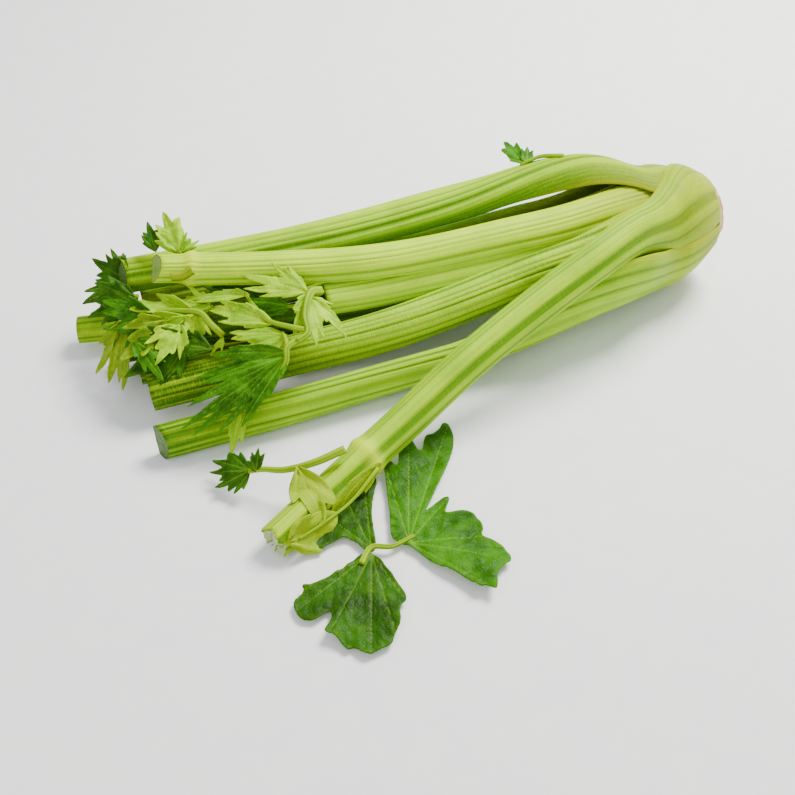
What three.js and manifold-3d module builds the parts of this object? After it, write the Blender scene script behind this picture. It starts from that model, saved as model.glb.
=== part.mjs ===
import * as THREE from 'three';
import { mergeVertices } from 'three/addons/utils/BufferGeometryUtils.js';
import Module from 'manifold-3d';

// A head of celery lying on its side, in millimetres, with +Z up.
// The root end points along +X and the cut tops along -X. The origin is the flat spot under the
// base on which the head lies.

// Driving dimensions.
const AXIS_HEIGHT = 39.6; // height of the head's axis above the table
const LAYER_RADII = [40, 34.2, 28.4, 22.6, 16.8]; // mid-surface of each layer of sheaths, outermost first
const LAYER_STARTS = [43, 37.5, 32, 26.5, 21]; // where each layer grows from the crown, along X
const SHEATH_THICKNESS = 5;
const BULB_START = 0; // from here to the root the base narrows
const BULB_LENGTH = 46;
const BULB_TAPER = 0.46;
const ROOT_FACE_X = 50; // the pale cut face of the root
const ROOT_FACE_RADIUS = 17;
const GAP = 0.3; // clearance between neighbouring solids
const RIB_HEIGHT = 0.55;
const BLADE_THICKNESS = 0.8;
const SPLIT_LENGTH = 38; // leaflets longer than this bend along a ring halfway out
const SHEATH_LENGTH = 52; // how far a sheath wraps the base before its stalk leaves it
const ROUNDS = 40; // places along each stalk that leaves are kept off
const ROUND_SPACING = 5; // half the distance between two of them
const MAX_ROUND = 16; // a stalk is round enough to lie on where its radius is less
const DRAPE_GAP = 0.8; // between a stalk and the middle of a leaf that lies on it
const DRAPE_LIMIT = 9; // a leaf deeper than this in a stalk is left there

const wasm = await Module();
wasm.setup();

let rounds; // the stalks' round shapes, worked out when first needed

const degrees = THREE.MathUtils.degToRad;
const mix = THREE.MathUtils.lerp;
const ramp = (value) => THREE.MathUtils.smoothstep(value, 0, 1);
const vector = ([x, y, z]) => new THREE.Vector3(x, y, z);

/** How far the base has narrowed at x, as a factor of a layer's radius. */
function bulbFactor(x) {
  return 1 - BULB_TAPER * (Math.max(x - BULB_START, 0) / BULB_LENGTH) ** 2;
}

/** Turns a closed geometry into a solid that can be cut and joined. */
function solidOf(geometry) {
  const bare = geometry.clone();
  bare.deleteAttribute('normal');
  bare.deleteAttribute('uv');
  const merged = mergeVertices(bare, 1e-4);
  return new wasm.Manifold(new wasm.Mesh({
    numProp: 3,
    vertProperties: new Float32Array(merged.attributes.position.array),
    triVerts: new Uint32Array(merged.index.array),
  }));
}

/** Keeps the largest body of a solid, so that scraps left by a cut fall away. */
function largestBody(solid) {
  const bodies = solid.decompose();
  bodies.sort((a, b) => b.volume() - a.volume());
  return bodies[0];
}

/** Turns a solid back into a geometry. */
function geometryOf(solid) {
  const mesh = solid.getMesh();
  const geometry = new THREE.BufferGeometry();
  geometry.setAttribute('position', new THREE.BufferAttribute(mesh.vertProperties.slice(), 3));
  geometry.setIndex(new THREE.BufferAttribute(mesh.triVerts.slice(), 1));
  const faceted = geometry.toNonIndexed();
  faceted.computeVertexNormals();
  return faceted;
}

/** Joins rings of points into a closed skin, with a triangulated cap at each end. */
function loft(rings, capOutline) {
  const around = rings[0].length;
  const positions = rings.flat().flatMap((point) => point.toArray());
  const index = [];
  for (let i = 0; i < rings.length - 1; i += 1) {
    for (let j = 0; j < around; j += 1) {
      const a = i * around + j;
      const b = i * around + ((j + 1) % around);
      index.push(a, b + around, a + around, a, b, b + around);
    }
  }
  const last = (rings.length - 1) * around;
  for (const [a, b, c] of THREE.ShapeUtils.triangulateShape(capOutline(0), [])) {
    index.push(a, c, b);
  }
  for (const [a, b, c] of THREE.ShapeUtils.triangulateShape(capOutline(rings.length - 1), [])) {
    index.push(last + a, last + b, last + c);
  }
  const geometry = new THREE.BufferGeometry();
  geometry.setAttribute('position', new THREE.Float32BufferAttribute(positions, 3));
  geometry.setIndex(index);
  return geometry;
}

/** The line down the middle of a stalk: along its layer of the base, then along its own route. */
function stalkSpine({ layer, at, root = at, route }) {
  const points = [];
  for (let i = 0; i < 4; i += 1) {
    const x = mix(LAYER_STARTS[layer], 2, i / 3);
    const radius = LAYER_RADII[layer] * bulbFactor(x);
    const angle = degrees(mix(root, at, i / 3));
    points.push(new THREE.Vector3(
      x,
      -radius * Math.cos(angle),
      AXIS_HEIGHT + radius * Math.sin(angle),
    ));
  }
  points.push(...route.map(vector));
  const spine = new THREE.CatmullRomCurve3(points, false, 'catmullrom', 0.5);
  spine.arcLengthDivisions = 400;
  return spine;
}

/**
 * The section of a stalk at a share of its length: its middle, its directions, its radius,
 * its thickness and how far it reaches to each side, in radians.
 */
function stalkSection(stalk, spine, along) {
  const {
    layer, at, root = at, face = at, half = 50, curve = 9.5, thick = 9, taper = 0.85, opening = 78,
    sheath = 30, melt = 70, sheathBack = sheath, meltBack = melt, turn = spine.getLength() - 50,
  } = stalk;
  const distance = along * spine.getLength();
  const turned = ramp((distance - sheath) / melt);
  const turnedBack = ramp((distance - sheathBack) / meltBack);
  const point = spine.getPointAt(along);
  const tangent = spine.getTangentAt(along);
  tangent.lerp(new THREE.Vector3(-1, 0, 0), 1 - ramp((distance - 45) / 60)).normalize();
  const wrapped = mix(root, at, Math.min(1, distance / SHEATH_LENGTH));
  const angle = degrees(mix(wrapped, face, ramp((distance - 50) / turn)));
  const out = new THREE.Vector3(0, -Math.cos(angle), Math.sin(angle));
  out.addScaledVector(tangent, -out.dot(tangent)).normalize();
  const side = new THREE.Vector3().crossVectors(tangent, out);
  const stalkRadius = curve * mix(1.12, taper, along);
  const sheathRadius = Math.min(Math.hypot(point.y, point.z - AXIS_HEIGHT), LAYER_RADII[layer]);
  const radius = mix(sheathRadius, stalkRadius, turned);
  const thickness = mix(SHEATH_THICKNESS * Math.min(1, 0.7 + distance / 130), thick, turned);
  const sheathReach = sheathRadius * degrees(half);
  const stalkReach = stalkRadius * degrees(opening);
  return {
    point, tangent, out, side, radius, thickness, turned,
    reach: [mix(sheathReach, stalkReach, turned), mix(sheathReach, stalkReach, turnedBack)],
  };
}

/**
 * A stalk: a wide thin sheath that wraps the base, narrowing to a thick ribbed crescent.
 * `at` and `face` are the angles round the axis that its back faces at the base and at the cut,
 * with 0 to the front and 90 up, and `root` is the angle where it leaves the crown. `slant` leans
 * the cut towards its back. `grow` makes it larger all round, to cut clearance with.
 */
function stalkSolid(stalk, grow = 0) {
  const { stations = 13, ribs = 8, slant = 0 } = stalk;
  const spine = stalkSpine(stalk);
  const outer = 2 * ribs + 1;
  const inner = ribs;
  const rings = [];
  const outlines = [];
  for (let i = 0; i <= stations; i += 1) {
    const share = i / stations;
    const section = stalkSection(stalk, spine, mix(share, share * share, 0.45));
    const { point, tangent, out, side, radius, thickness, turned } = section;
    if (i === 0) point.addScaledVector(tangent, -grow);
    if (i === stations) point.addScaledVector(tangent, grow);
    const reach = section.reach.map((width) => (width + grow) / radius);
    const ring = [];
    const outline = [];
    const place = (u, way, rib) => {
      const depth = thickness * (1 - 0.5 * Math.abs(u) ** 2.2) / 2 + grow + rib;
      const r = radius + way * depth;
      const a = u * (u < 0 ? reach[0] : reach[1]);
      const rise = r * Math.cos(a) - radius;
      outline.push(new THREE.Vector2(r * Math.cos(a), r * Math.sin(a)));
      ring.push(point.clone()
        .addScaledVector(out, rise)
        .addScaledVector(side, r * Math.sin(a))
        .addScaledVector(tangent, i === stations ? -slant * rise : 0));
    };
    for (let j = 0; j < outer; j += 1) {
      const height = RIB_HEIGHT * Math.min(1, turned + 0.35) * (j % 2 ? 1 : -1);
      place(mix(-1, 1, j / (outer - 1)), 1, j === 0 || j === outer - 1 ? 0 : height);
    }
    for (let j = 0; j < inner; j += 1) {
      place(mix(1, -1, j / (inner - 1)), -1, 0);
    }
    rings.push(ring);
    outlines.push(outline);
  }
  return solidOf(loft(rings, (i) => outlines[i]));
}

/** The round shapes of the stalks past their sheaths, which the leaves lie over. */
function stalkRounds() {
  const rounds = [];
  for (const stalk of STALKS) {
    const spine = stalkSpine(stalk);
    for (let i = 0; i <= ROUNDS; i += 1) {
      const { point, tangent, out, radius, thickness } = stalkSection(stalk, spine, i / ROUNDS);
      if (radius < MAX_ROUND) {
        const centre = point.addScaledVector(out, -radius);
        rounds.push({ centre, tangent, radius: radius + thickness / 2 });
      }
    }
  }
  return rounds;
}

/** Moves a point of a leaf out of the stalks that it would sink into. */
function drape(point) {
  rounds ??= stalkRounds();
  for (const { centre, tangent, radius } of rounds) {
    const offset = point.clone().sub(centre);
    const past = offset.dot(tangent);
    if (Math.abs(past) > ROUND_SPACING) continue;
    offset.addScaledVector(tangent, -past);
    const lift = radius + DRAPE_GAP - offset.length();
    if (lift > 0 && lift < DRAPE_LIMIT) point.addScaledVector(offset.normalize(), lift);
  }
  return point;
}

/** Orders of lobes: each is an angle from the midrib and its reach as a share of the length. */
const LOBES = {
  trefoil: [[-50, 0.66], [0, 1], [50, 0.66]],
  spear: [[-26, 0.6], [0, 1], [26, 0.6]],
};

/** The toothed outline of a leaflet that lies along +x from its base at the origin. */
function lobedOutline(length, lobes, spread, points) {
  const outline = [[0, 0]];
  const angles = lobes.map(([angle]) => angle);
  const [first, last] = [Math.min(...angles) - spread * 0.9, Math.max(...angles) + spread * 0.9];
  for (let i = 0; i <= points; i += 1) {
    const angle = mix(first, last, i / points);
    let reach = 0.2;
    for (const [lobeAngle, lobeReach] of lobes) {
      const off = Math.min(1, Math.abs(angle - lobeAngle) / spread);
      reach = Math.max(reach, lobeReach * Math.cos(off * Math.PI / 2) ** 0.7);
    }
    const tooth = i % 2 ? 0.93 : 1.07;
    const radius = length * reach * tooth;
    outline.push([radius * Math.cos(degrees(angle)), radius * Math.sin(degrees(angle))]);
  }
  return outline;
}

/**
 * A leaflet: a thin blade fanned out from a centre to its outline, creased along its midrib and
 * waved, with both faces split alike. Its plane holds the line from base to tip and faces `facing`.
 * One that is `draped` lies over the stalks instead of being cut by them.
 */
function leafletSolid(leaflet, grow) {
  const {
    base, tip, facing = [0, 0, 1], lobes = LOBES.trefoil, spread = 32, points = 16, outline,
    crease = 0.12, droop = 0.12, wave = 0.05, waves = 5, draped = !outline,
  } = leaflet;
  const along = vector(tip).sub(vector(base));
  const length = along.length();
  along.normalize();
  const up = vector(facing);
  up.addScaledVector(along, -up.dot(along)).normalize();
  const side = new THREE.Vector3().crossVectors(up, along);
  const edge = outline ?? lobedOutline(length, lobes, spread, points);
  const middle = degrees(lobes.reduce((sum, [angle]) => sum + angle, 0) / lobes.length);
  const inwards = outline ? 0 : 0.05 * length;
  const centre = [inwards * Math.cos(middle), inwards * Math.sin(middle)];
  const relief = (x, y) => {
    const reach = Math.hypot(x, y) / length;
    return crease * Math.abs(y) - droop * length * (x / length) ** 2
      + wave * length * reach * reach * Math.sin(waves * Math.atan2(y, x) + 0.7);
  };
  const half = BLADE_THICKNESS / 2 + grow;
  const corner = ([x, y], share, face) => {
    const dx = x - centre[0];
    const dy = y - centre[1];
    const wider = share * (1 + grow / Math.max(1, Math.hypot(dx, dy)));
    const px = centre[0] + dx * wider;
    const py = centre[1] + dy * wider;
    const point = vector(base)
      .addScaledVector(along, px)
      .addScaledVector(side, py)
      .addScaledVector(up, relief(px, py));
    return (draped ? drape(point) : point).addScaledVector(up, face * half).toArray();
  };
  const count = edge.length;
  const shares = outline || length > SPLIT_LENGTH ? [0.5, 1] : [1];
  const positions = [];
  for (const face of [1, -1]) {
    positions.push(...corner(edge[0], 0, face));
    for (const share of shares) {
      for (const point of edge) positions.push(...corner(point, share, face));
    }
  }
  const index = [];
  const block = 1 + shares.length * count;
  for (let i = 0; i < count; i += 1) {
    const j = (i + 1) % count;
    index.push(0, 1 + i, 1 + j, block, block + 1 + j, block + 1 + i);
    if (shares.length === 2) {
      const [a, b, c, d] = [1 + i, 1 + j, 1 + count + i, 1 + count + j];
      index.push(a, c, d, a, d, b);
      index.push(block + a, block + d, block + c, block + a, block + b, block + d);
    }
    const [c, d] = [block - count + i, block - count + j];
    index.push(c, block + c, block + d, c, block + d, d);
  }
  const geometry = new THREE.BufferGeometry();
  geometry.setAttribute('position', new THREE.Float32BufferAttribute(positions, 3));
  geometry.setIndex(index);
  return solidOf(geometry);
}

/** A leaf stem: a round tube along a smooth path. */
function stemSolid({ path, radius = 1.6, steps = 6 }, grow) {
  const section = new THREE.Shape();
  const size = radius + grow;
  for (let i = 0; i < 6; i += 1) {
    const turn = (i / 6) * 2 * Math.PI;
    const [x, y] = [size * Math.cos(turn), size * Math.sin(turn)];
    if (i === 0) section.moveTo(x, y);
    else section.lineTo(x, y);
  }
  const curve = new THREE.CatmullRomCurve3(path.map(vector));
  return solidOf(new THREE.ExtrudeGeometry(section, { steps, extrudePath: curve, curveSegments: 1 }));
}

/** A spray: its stems and leaflets joined into one solid. */
function spraySolid({ stems = [], leaflets }, grow) {
  const parts = [
    ...stems.map((stem) => stemSolid(stem, grow)),
    ...leaflets.map((leaflet) => leafletSolid(leaflet, grow)),
  ];
  return parts.reduce((whole, part) => whole.add(part));
}

/** The crown: a stepped cone that the layers of sheaths grow from, ending in the cut root. */
function crownSolid() {
  const profile = [[0, ROOT_FACE_X], [ROOT_FACE_RADIUS, ROOT_FACE_X]];
  profile.push([ROOT_FACE_RADIUS + 4.5, ROOT_FACE_X - 3]);
  LAYER_STARTS.forEach((start, layer) => {
    const outside = LAYER_RADII[layer] + SHEATH_THICKNESS / 2;
    const inside = LAYER_RADII[layer] - SHEATH_THICKNESS / 2 - 2 * GAP;
    const next = LAYER_STARTS[layer + 1] ?? start - 4;
    if (layer === 0) profile.push([outside * bulbFactor(start) - 1.5, start + GAP]);
    profile.push([inside * bulbFactor(start), start + GAP]);
    profile.push([inside * bulbFactor(next + GAP) - 0.4, next + GAP]);
  });
  profile.push([0, LAYER_STARTS[4] - 4 + GAP]);
  const points = profile.map(([radius, x]) => new THREE.Vector2(radius, x));
  const crown = new THREE.LatheGeometry(points.reverse(), 16);
  crown.rotateZ(-Math.PI / 2);
  crown.translate(0, 0, AXIS_HEIGHT);
  return solidOf(crown);
}

const COLOURS = {
  bright: 0xb9d53a,
  green: 0xa3c42f,
  deep: 0x86ad2a,
  pale: 0xe4ea84,
  root: 0xe9dfa6,
  leafDark: 0x3f7d1f,
  leaf: 0x5f9f28,
  leafBright: 0xa9cf3c,
  leafOlive: 0x88a83a,
};

const STALKS = [
  {
    name: 'stalk_splayed', layer: 0, root: 68, at: 42, half: 51, face: 60, curve: 9.2, taper: 0.86,
    sheath: -6, melt: 112, sheathBack: 4, meltBack: 64, colour: 'green', stations: 15,
    route: [[-25, -40, 69], [-57, -53, 65], [-100, -65, 52], [-145, -79, 38], [-188, -95, 22],
      [-231, -115, 13], [-275, -141, 10]],
  },
  {
    name: 'stalk_front', layer: 0, at: -45, half: 58, face: 15, curve: 10, sheath: 50, melt: 130,
    sheathBack: 70, meltBack: 130, slant: 0.4, colour: 'green', stations: 14,
    route: [[-41, -46, 22], [-106, -52, 16], [-176, -55, 13], [-247, -57, 11.5], [-314, -57, 10]],
  },
  {
    name: 'stalk_back', layer: 0, at: 205, half: 53, face: 208, curve: 10.5, colour: 'deep',
    stations: 9, ribs: 5,
    route: [[-46, 42, 28], [-126, 50, 18], [-206, 60, 12], [-301, 66, 7.6]],
  },
  {
    name: 'stalk_far', layer: 1, at: 118, half: 52, face: 55, turn: 130, curve: 10.5, sheath: 40,
    melt: 90, slant: 0.5, colour: 'green',
    route: [[-36, 30, 66], [-116, 43, 51], [-204, 48, 45], [-310, 56, 42]],
  },
  {
    name: 'stalk_middle', layer: 1, at: 14, half: 46, face: 45, curve: 10.8, colour: 'green',
    route: [[-26, -30, 50], [-79, -30, 44], [-170, -35, 33], [-239, -27, 24], [-313, -22, 18]],
  },
  {
    name: 'stalk_under', layer: 1, at: -85, half: 48, face: -60, curve: 10.5, colour: 'deep',
    stations: 8, ribs: 5,
    route: [[-56, -10, 13], [-146, -6, 12], [-223, -4, 12], [-315, 0, 11]],
  },
  {
    name: 'stalk_top', layer: 2, at: 78, half: 50, face: 60, curve: 10.5, slant: 0.8, colour: 'bright',
    route: [[-31, -8, 71], [-75, -10, 68], [-159, -5, 62], [-225, 11, 61], [-292, 32, 61]],
  },
  {
    name: 'stalk_inner_front', layer: 2, at: -25, half: 45, face: 0, curve: 9, colour: 'deep',
    stations: 8, ribs: 4,
    route: [[-76, -14, 28], [-176, -8, 26], [-276, 4, 28]],
  },
  {
    name: 'stalk_inner_back', layer: 2, at: 196, half: 55, face: 200, curve: 9, colour: 'deep',
    stations: 8, ribs: 4,
    route: [[-76, 22, 36], [-176, 28, 30], [-291, 32, 29]],
  },
  {
    name: 'stalk_leafy', layer: 3, at: 40, half: 58, face: 60, curve: 8.6, colour: 'bright',
    stations: 9, ribs: 5,
    route: [[-46, -12, 55], [-90, -17, 51], [-162, -13, 46], [-205, -8, 44]],
  },
  {
    name: 'stalk_long', layer: 3, at: 150, half: 50, face: 80, curve: 8.5, colour: 'green',
    stations: 10, ribs: 5,
    route: [[-76, 14, 44], [-176, 20, 40], [-273, 36, 18], [-342, 52, 14]],
  },
  {
    name: 'stalk_thin', layer: 3, at: 265, half: 55, face: 270, curve: 7.5, thick: 7,
    colour: 'deep', stations: 8, ribs: 4,
    route: [[-76, 2, 28], [-196, 14, 16], [-321, 22, 11]],
  },
  {
    name: 'heart_upper', layer: 4, at: 80, half: 62, face: 80, curve: 7, thick: 4, colour: 'pale',
    stations: 6, ribs: 4,
    route: [[-40, 0, 50], [-110, -2, 47]],
  },
  {
    name: 'heart_lower', layer: 4, at: 255, half: 62, face: 255, curve: 7, thick: 4, colour: 'pale',
    stations: 6, ribs: 4,
    route: [[-40, 2, 34], [-100, 6, 33]],
  },
];

// Where the lower leaf's three leaflets meet, and a centre inside each of them.
const LOWER_JUNCTION = [-230, -157];
const LOWER_LEAFLETS = [
  {
    centre: [-207, -151], height: 3.6, wave: 0.035, crease: 0.02,
    outline: [[-210, -163], [-205, -176], [-197, -185], [-193, -192], [-188, -200], [-186, -199],
      [-182, -204], [-180, -201], [-178, -195], [-172, -190], [-166, -188], [-167, -179],
      [-169, -175], [-175, -168], [-171, -163], [-174, -152], [-179, -150], [-186, -149.5],
      [-187, -148], [-180, -139], [-184, -138], [-198, -145], [-196, -143.5], [-191, -138],
      [-183, -129], [-176, -121], [-166, -108], [-160, -95], [-160, -83], [-171, -92],
      [-176, -92], [-183, -105], [-186, -94], [-195, -101], [-199, -112], [-204, -102],
      [-209, -120], [-214, -140], [-219, -156]],
  },
  {
    centre: [-242, -175], height: 3.2, wave: 0.045, crease: 0.03,
    outline: [[-233, -158], [-245, -163], [-255, -166], [-264, -169], [-270, -167.5], [-269, -171],
      [-277, -175], [-276, -186], [-269, -189], [-260, -185], [-262, -192], [-265, -195],
      [-268, -198], [-263, -201], [-260, -210], [-257, -209], [-252, -216], [-246, -215],
      [-239, -214], [-237, -210], [-231, -204], [-229, -195], [-223, -192], [-225, -178],
      [-229, -162]],
  },
  {
    centre: [-232, -134], height: 3.2, wave: 0.02, crease: 0,
    outline: [[-230, -159], [-227, -157], [-223, -137], [-218, -125], [-211, -113], [-217, -107],
      [-228, -112], [-240, -120], [-250, -131], [-257, -145], [-254, -149], [-250, -147],
      [-240, -145], [-236, -150], [-233, -157]],
  },
];

const SPRAYS = [
  {
    name: 'leaf_lower', colour: 'leafDark',
    stems: [
      {
        path: [[-238, -165, 3.9], LOWER_JUNCTION.concat(4.1), [-220, -160, 4.3], [-207, -157, 3.4]],
        radius: 1.7, steps: 5,
      },
    ],
    leaflets: LOWER_LEAFLETS.map(({ centre: [x, y], height, wave, crease, outline }) => ({
      base: [x, y, height],
      tip: [x + 45, y, height],
      outline: outline.map(([px, py]) => [px - x, py - y]),
      droop: 0, wave, crease,
    })),
  },
  {
    name: 'leaf_folded', colour: 'leafOlive',
    stems: [
      {
        path: [[-212, -116, 14], [-230, -128, 9], [-248, -138, 10], [-264, -145, 11]],
        radius: 0.9, steps: 4,
      },
    ],
    leaflets: [
      { base: [-249, -112, 21], tip: [-250, -137, 13], facing: [-0.1, -0.8, 0.6],
        lobes: [[-28, 0.34], [0, 1], [17, 0.78]], spread: 18, points: 10 },
      { base: [-268, -145, 12], tip: [-243, -136, 9], facing: [0.1, -0.8, 0.6],
        lobes: [[-39, 0.6], [-10, 0.78], [0, 1], [24, 0.4]], spread: 22 },
      { base: [-210, -113, 15], tip: [-244, -128, 7], facing: [0.3, -0.8, 0.5],
        lobes: [[0, 1], [5, 0.8], [14, 0.6], [22, 0.45]], spread: 12 },
    ],
  },
  {
    name: 'leaf_curled', colour: 'leafDark',
    stems: [
      {
        path: [[-227, -108, 26], [-244, -108, 22], [-259, -104, 18], [-269, -97, 15], [-276, -94, 13]],
        radius: 2,
      },
    ],
    leaflets: [
      { base: [-275, -94, 13], tip: [-294, -85, 11], facing: [0, -0.35, 0.9],
        lobes: [[-40, 0.81], [-19, 1.07], [0, 1], [26, 0.92], [58, 0.66]], spread: 24,
        crease: -0.1 },
      { base: [-273, -97, 14], tip: [-269, -91, 24], facing: [-0.3, -0.7, 0.6],
        lobes: [[0, 1], [25, 0.7]], points: 10 },
    ],
  },
  {
    name: 'leaf_sprig', colour: 'leaf',
    stems: [{ path: [[-35, 40, 73], [-46, 47, 71], [-54, 48, 69], [-60, 48, 67]], radius: 1.4, steps: 4 }],
    leaflets: [
      { base: [-59, 48, 68], tip: [-60, 74, 70], facing: [-0.2, -0.6, 0.7],
        lobes: [[-25, 0.5], [0, 1], [24, 0.45]], spread: 22 },
      { base: [-56, 47, 68], tip: [-51, 59, 72], facing: [-0.2, -0.6, 0.7], lobes: LOBES.spear, points: 10 },
    ],
  },
  {
    name: 'spray_centre', colour: 'leafBright',
    stems: [
      {
        path: [[-210, -16, 57], [-217, -19, 59], [-224, -32, 56], [-226, -43, 53], [-233, -46, 51]],
        radius: 2.4,
      },
      {
        path: [[-226, -41, 53], [-234, -34, 52], [-243, -24, 51], [-247, -10, 51], [-249, 3, 51]],
        radius: 1.5,
      },
      { path: [[-216, -18, 58], [-222, -19, 53], [-229, -14, 49]], radius: 1.3, steps: 3 },
    ],
    leaflets: [
      { base: [-217, -17, 58], tip: [-231, 5, 66], facing: [-0.1, -0.6, 0.75],
        lobes: [[-12, 0.74], [0, 1], [22, 1.4], [34, 1.26], [43, 0.95]], spread: 11 },
      { base: [-216, -17, 58], tip: [-224, -38, 48], facing: [0.3, -0.7, 0.6],
        lobes: [[-37, 0.68], [-17, 1.06], [0, 1]], spread: 20, points: 12 },
      { base: [-218, -20, 58], tip: [-206, -46, 50], facing: [0.2, -0.7, 0.7],
        lobes: [[-42, 0.82], [-34, 0.99], [-24, 0.87], [0, 1], [6, 0.78], [31, 0.45]],
        spread: 14, points: 20 },
      { base: [-240, -28, 51], tip: [-274, 6, 49], facing: [-0.1, -0.5, 0.85],
        lobes: [[-14, 0.49], [-8, 0.79], [0, 1], [14, 0.65]], spread: 13 },
      { base: [-247, 1, 51], tip: [-281, 15, 49], facing: [0, -0.4, 0.9],
        lobes: [[-14, 0.41], [0, 1], [7, 0.8]], spread: 11, points: 12 },
      { base: [-227, -15, 49], tip: [-250, 5, 47], facing: [0, -0.4, 0.9],
        lobes: [[0, 1], [22, 0.73], [42, 0.43]], spread: 18, points: 12 },
    ],
  },
  {
    name: 'spray_drooping', colour: 'leaf',
    stems: [
      {
        path: [[-230, -44, 51], [-239, -47, 49], [-242, -53, 44], [-251, -58, 36], [-265, -63, 28],
          [-272, -68, 22]],
        radius: 1.7,
      },
      { path: [[-239, -48, 49], [-238, -41, 50], [-238, -34, 49]], radius: 1.2, steps: 3 },
    ],
    leaflets: [
      { base: [-236, -36, 49], tip: [-263, -21, 46], facing: [0, -0.5, 0.85],
        lobes: [[0, 1], [7, 0.95], [22, 0.8], [57, 0.47]], spread: 18 },
      { base: [-240, -49, 48], tip: [-286, -41, 39], facing: [0, -0.6, 0.8],
        lobes: [[-24, 0.42], [-20, 0.62], [-14, 0.81], [0, 1], [10, 0.73]], spread: 11, points: 18 },
      { base: [-240, -50, 46], tip: [-294, -69, 27], facing: [-0.1, -0.7, 0.7],
        lobes: [[-22, 0.73], [-14, 0.9], [-6, 1.04], [0, 1], [8, 0.84]], spread: 8, points: 20 },
      { base: [-240, -50, 47], tip: [-271, -71, 28], facing: [-0.2, -0.7, 0.7],
        lobes: [[-10, 0.84], [0, 1], [20, 0.3]], spread: 12, points: 12 },
      { base: [-271, -62, 27], tip: [-281, -76, 11], facing: [-0.2, -0.8, 0.5],
        lobes: [[-19, 0.5], [0, 1], [15, 0.73]], spread: 16, points: 12 },
    ],
  },
  {
    name: 'leaf_inner', colour: 'leafDark',
    stems: [],
    leaflets: [
      { base: [-275, -21, 37], tip: [-302, 0, 36], facing: [0, -0.6, 0.8],
        lobes: [[-19, 0.63], [0, 1], [12, 0.66]], spread: 20 },
    ],
  },
  {
    name: 'spray_left', colour: 'leafBright',
    stems: [
      {
        path: [[-267, -13, 38], [-272, -7, 43], [-276, 0, 47], [-284, 5, 47], [-295, 10, 46],
          [-306, 16, 43]],
        radius: 1.8,
      },
    ],
    leaflets: [
      { base: [-280, 4, 47], tip: [-310, 19, 44], facing: [-0.1, -0.5, 0.8],
        lobes: [[-33, 0.37], [-24, 0.72], [-9, 0.99], [0, 1], [15, 0.86]],
        spread: 13, wave: 0.12, points: 18 },
      { base: [-284, 1, 46], tip: [-314, 3, 38], facing: [-0.2, -0.7, 0.6],
        lobes: [[-16, 0.92], [0, 1], [11, 0.6]], spread: 16, wave: 0.1 },
      { base: [-281, 0, 46], tip: [-297, -4, 37], facing: [0.1, -0.7, 0.6],
        lobes: [[-26, 0.93], [0, 1], [8, 0.76], [27, 0.5]], spread: 18, wave: 0.1, points: 12 },
      { base: [-279, 2, 45], tip: [-279, -12, 34], facing: [0.1, -0.8, 0.5],
        lobes: [[-45, 0.75], [-20, 0.82], [0, 1], [26, 0.79]], spread: 18, points: 12 },
      { base: [-304, 15, 43], tip: [-326, 30, 38], facing: [-0.3, -0.5, 0.8],
        lobes: [[-15, 1.17], [0, 1], [8, 0.6]], spread: 16, wave: 0.1, points: 12 },
      { base: [-267, -13, 38], tip: [-276, -18, 31], facing: [0, -0.7, 0.7],
        lobes: [[0, 1], [27, 0.73]], spread: 12, points: 8 },
    ],
  },
  {
    name: 'leaf_behind', colour: 'leafDark',
    stems: [{ path: [[-305, 38, 38], [-317, 44, 37], [-320, 57, 36]], radius: 1.4, steps: 4 }],
    leaflets: [
      { base: [-307, 56, 36], tip: [-332, 59, 34], facing: [-0.4, -0.4, 0.8],
        lobes: [[-72, 0.84], [-44, 1.0], [0, 1], [15, 1.12], [38, 0.86]], spread: 26,
        wave: 0.1, points: 20 },
      { base: [-306, 39, 38], tip: [-325, 49, 36], facing: [-0.3, -0.6, 0.7],
        lobes: [[0, 1], [21, 0.9], [39, 0.66], [77, 0.48]], spread: 22 },
    ],
  },
  {
    name: 'leaf_top_bright', colour: 'leafBright',
    stems: [],
    leaflets: [
      { base: [-277, 45, 57], tip: [-279, 69, 70], facing: [-0.2, -0.7, 0.6],
        lobes: [[-81, 0.48], [-27, 0.55], [0, 1], [25, 0.66]], spread: 28 },
    ],
  },
  {
    name: 'leaf_top_small', colour: 'leafDark',
    stems: [],
    leaflets: [
      { base: [-289, 53, 55], tip: [-289, 72, 64], facing: [-0.2, -0.7, 0.6],
        lobes: [[-17, 0.66], [0, 1], [22, 0.66]], spread: 20, points: 12 },
    ],
  },
  {
    name: 'leaf_hanging', colour: 'leafOlive',
    stems: [],
    leaflets: [
      { base: [-316, 17, 38], tip: [-328, 1, 12], facing: [-0.3, -0.8, 0.5],
        lobes: [[-23, 0.99], [-9, 1.06], [0, 1], [7, 1.1], [13, 0.69]], spread: 12, wave: 0.1, points: 18 },
      { base: [-318, 17, 40], tip: [-336, 10, 18], facing: [-0.5, -0.6, 0.6],
        lobes: [[-15, 0.6], [0, 1], [8, 0.6]], spread: 14, points: 12 },
    ],
  },
  {
    name: 'leaf_pointed', colour: 'leaf',
    stems: [],
    leaflets: [
      { base: [-315, 2, 37], tip: [-306, -29, 33.5], facing: [0, -0.7, 0.7],
        lobes: [[-11, 0.53], [0, 1], [16, 0.74], [45, 0.42]], spread: 16 },
    ],
  },
  {
    name: 'leaf_gap', colour: 'leafDark',
    stems: [],
    leaflets: [
      { base: [-225, -2, 47], tip: [-266, 26, 45], facing: [0, -0.4, 0.9],
        lobes: [[-8, 0.73], [0, 1], [9, 0.5]], spread: 12, draped: false },
    ],
  },
];

const head = new THREE.Group();
const placed = [];

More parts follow.
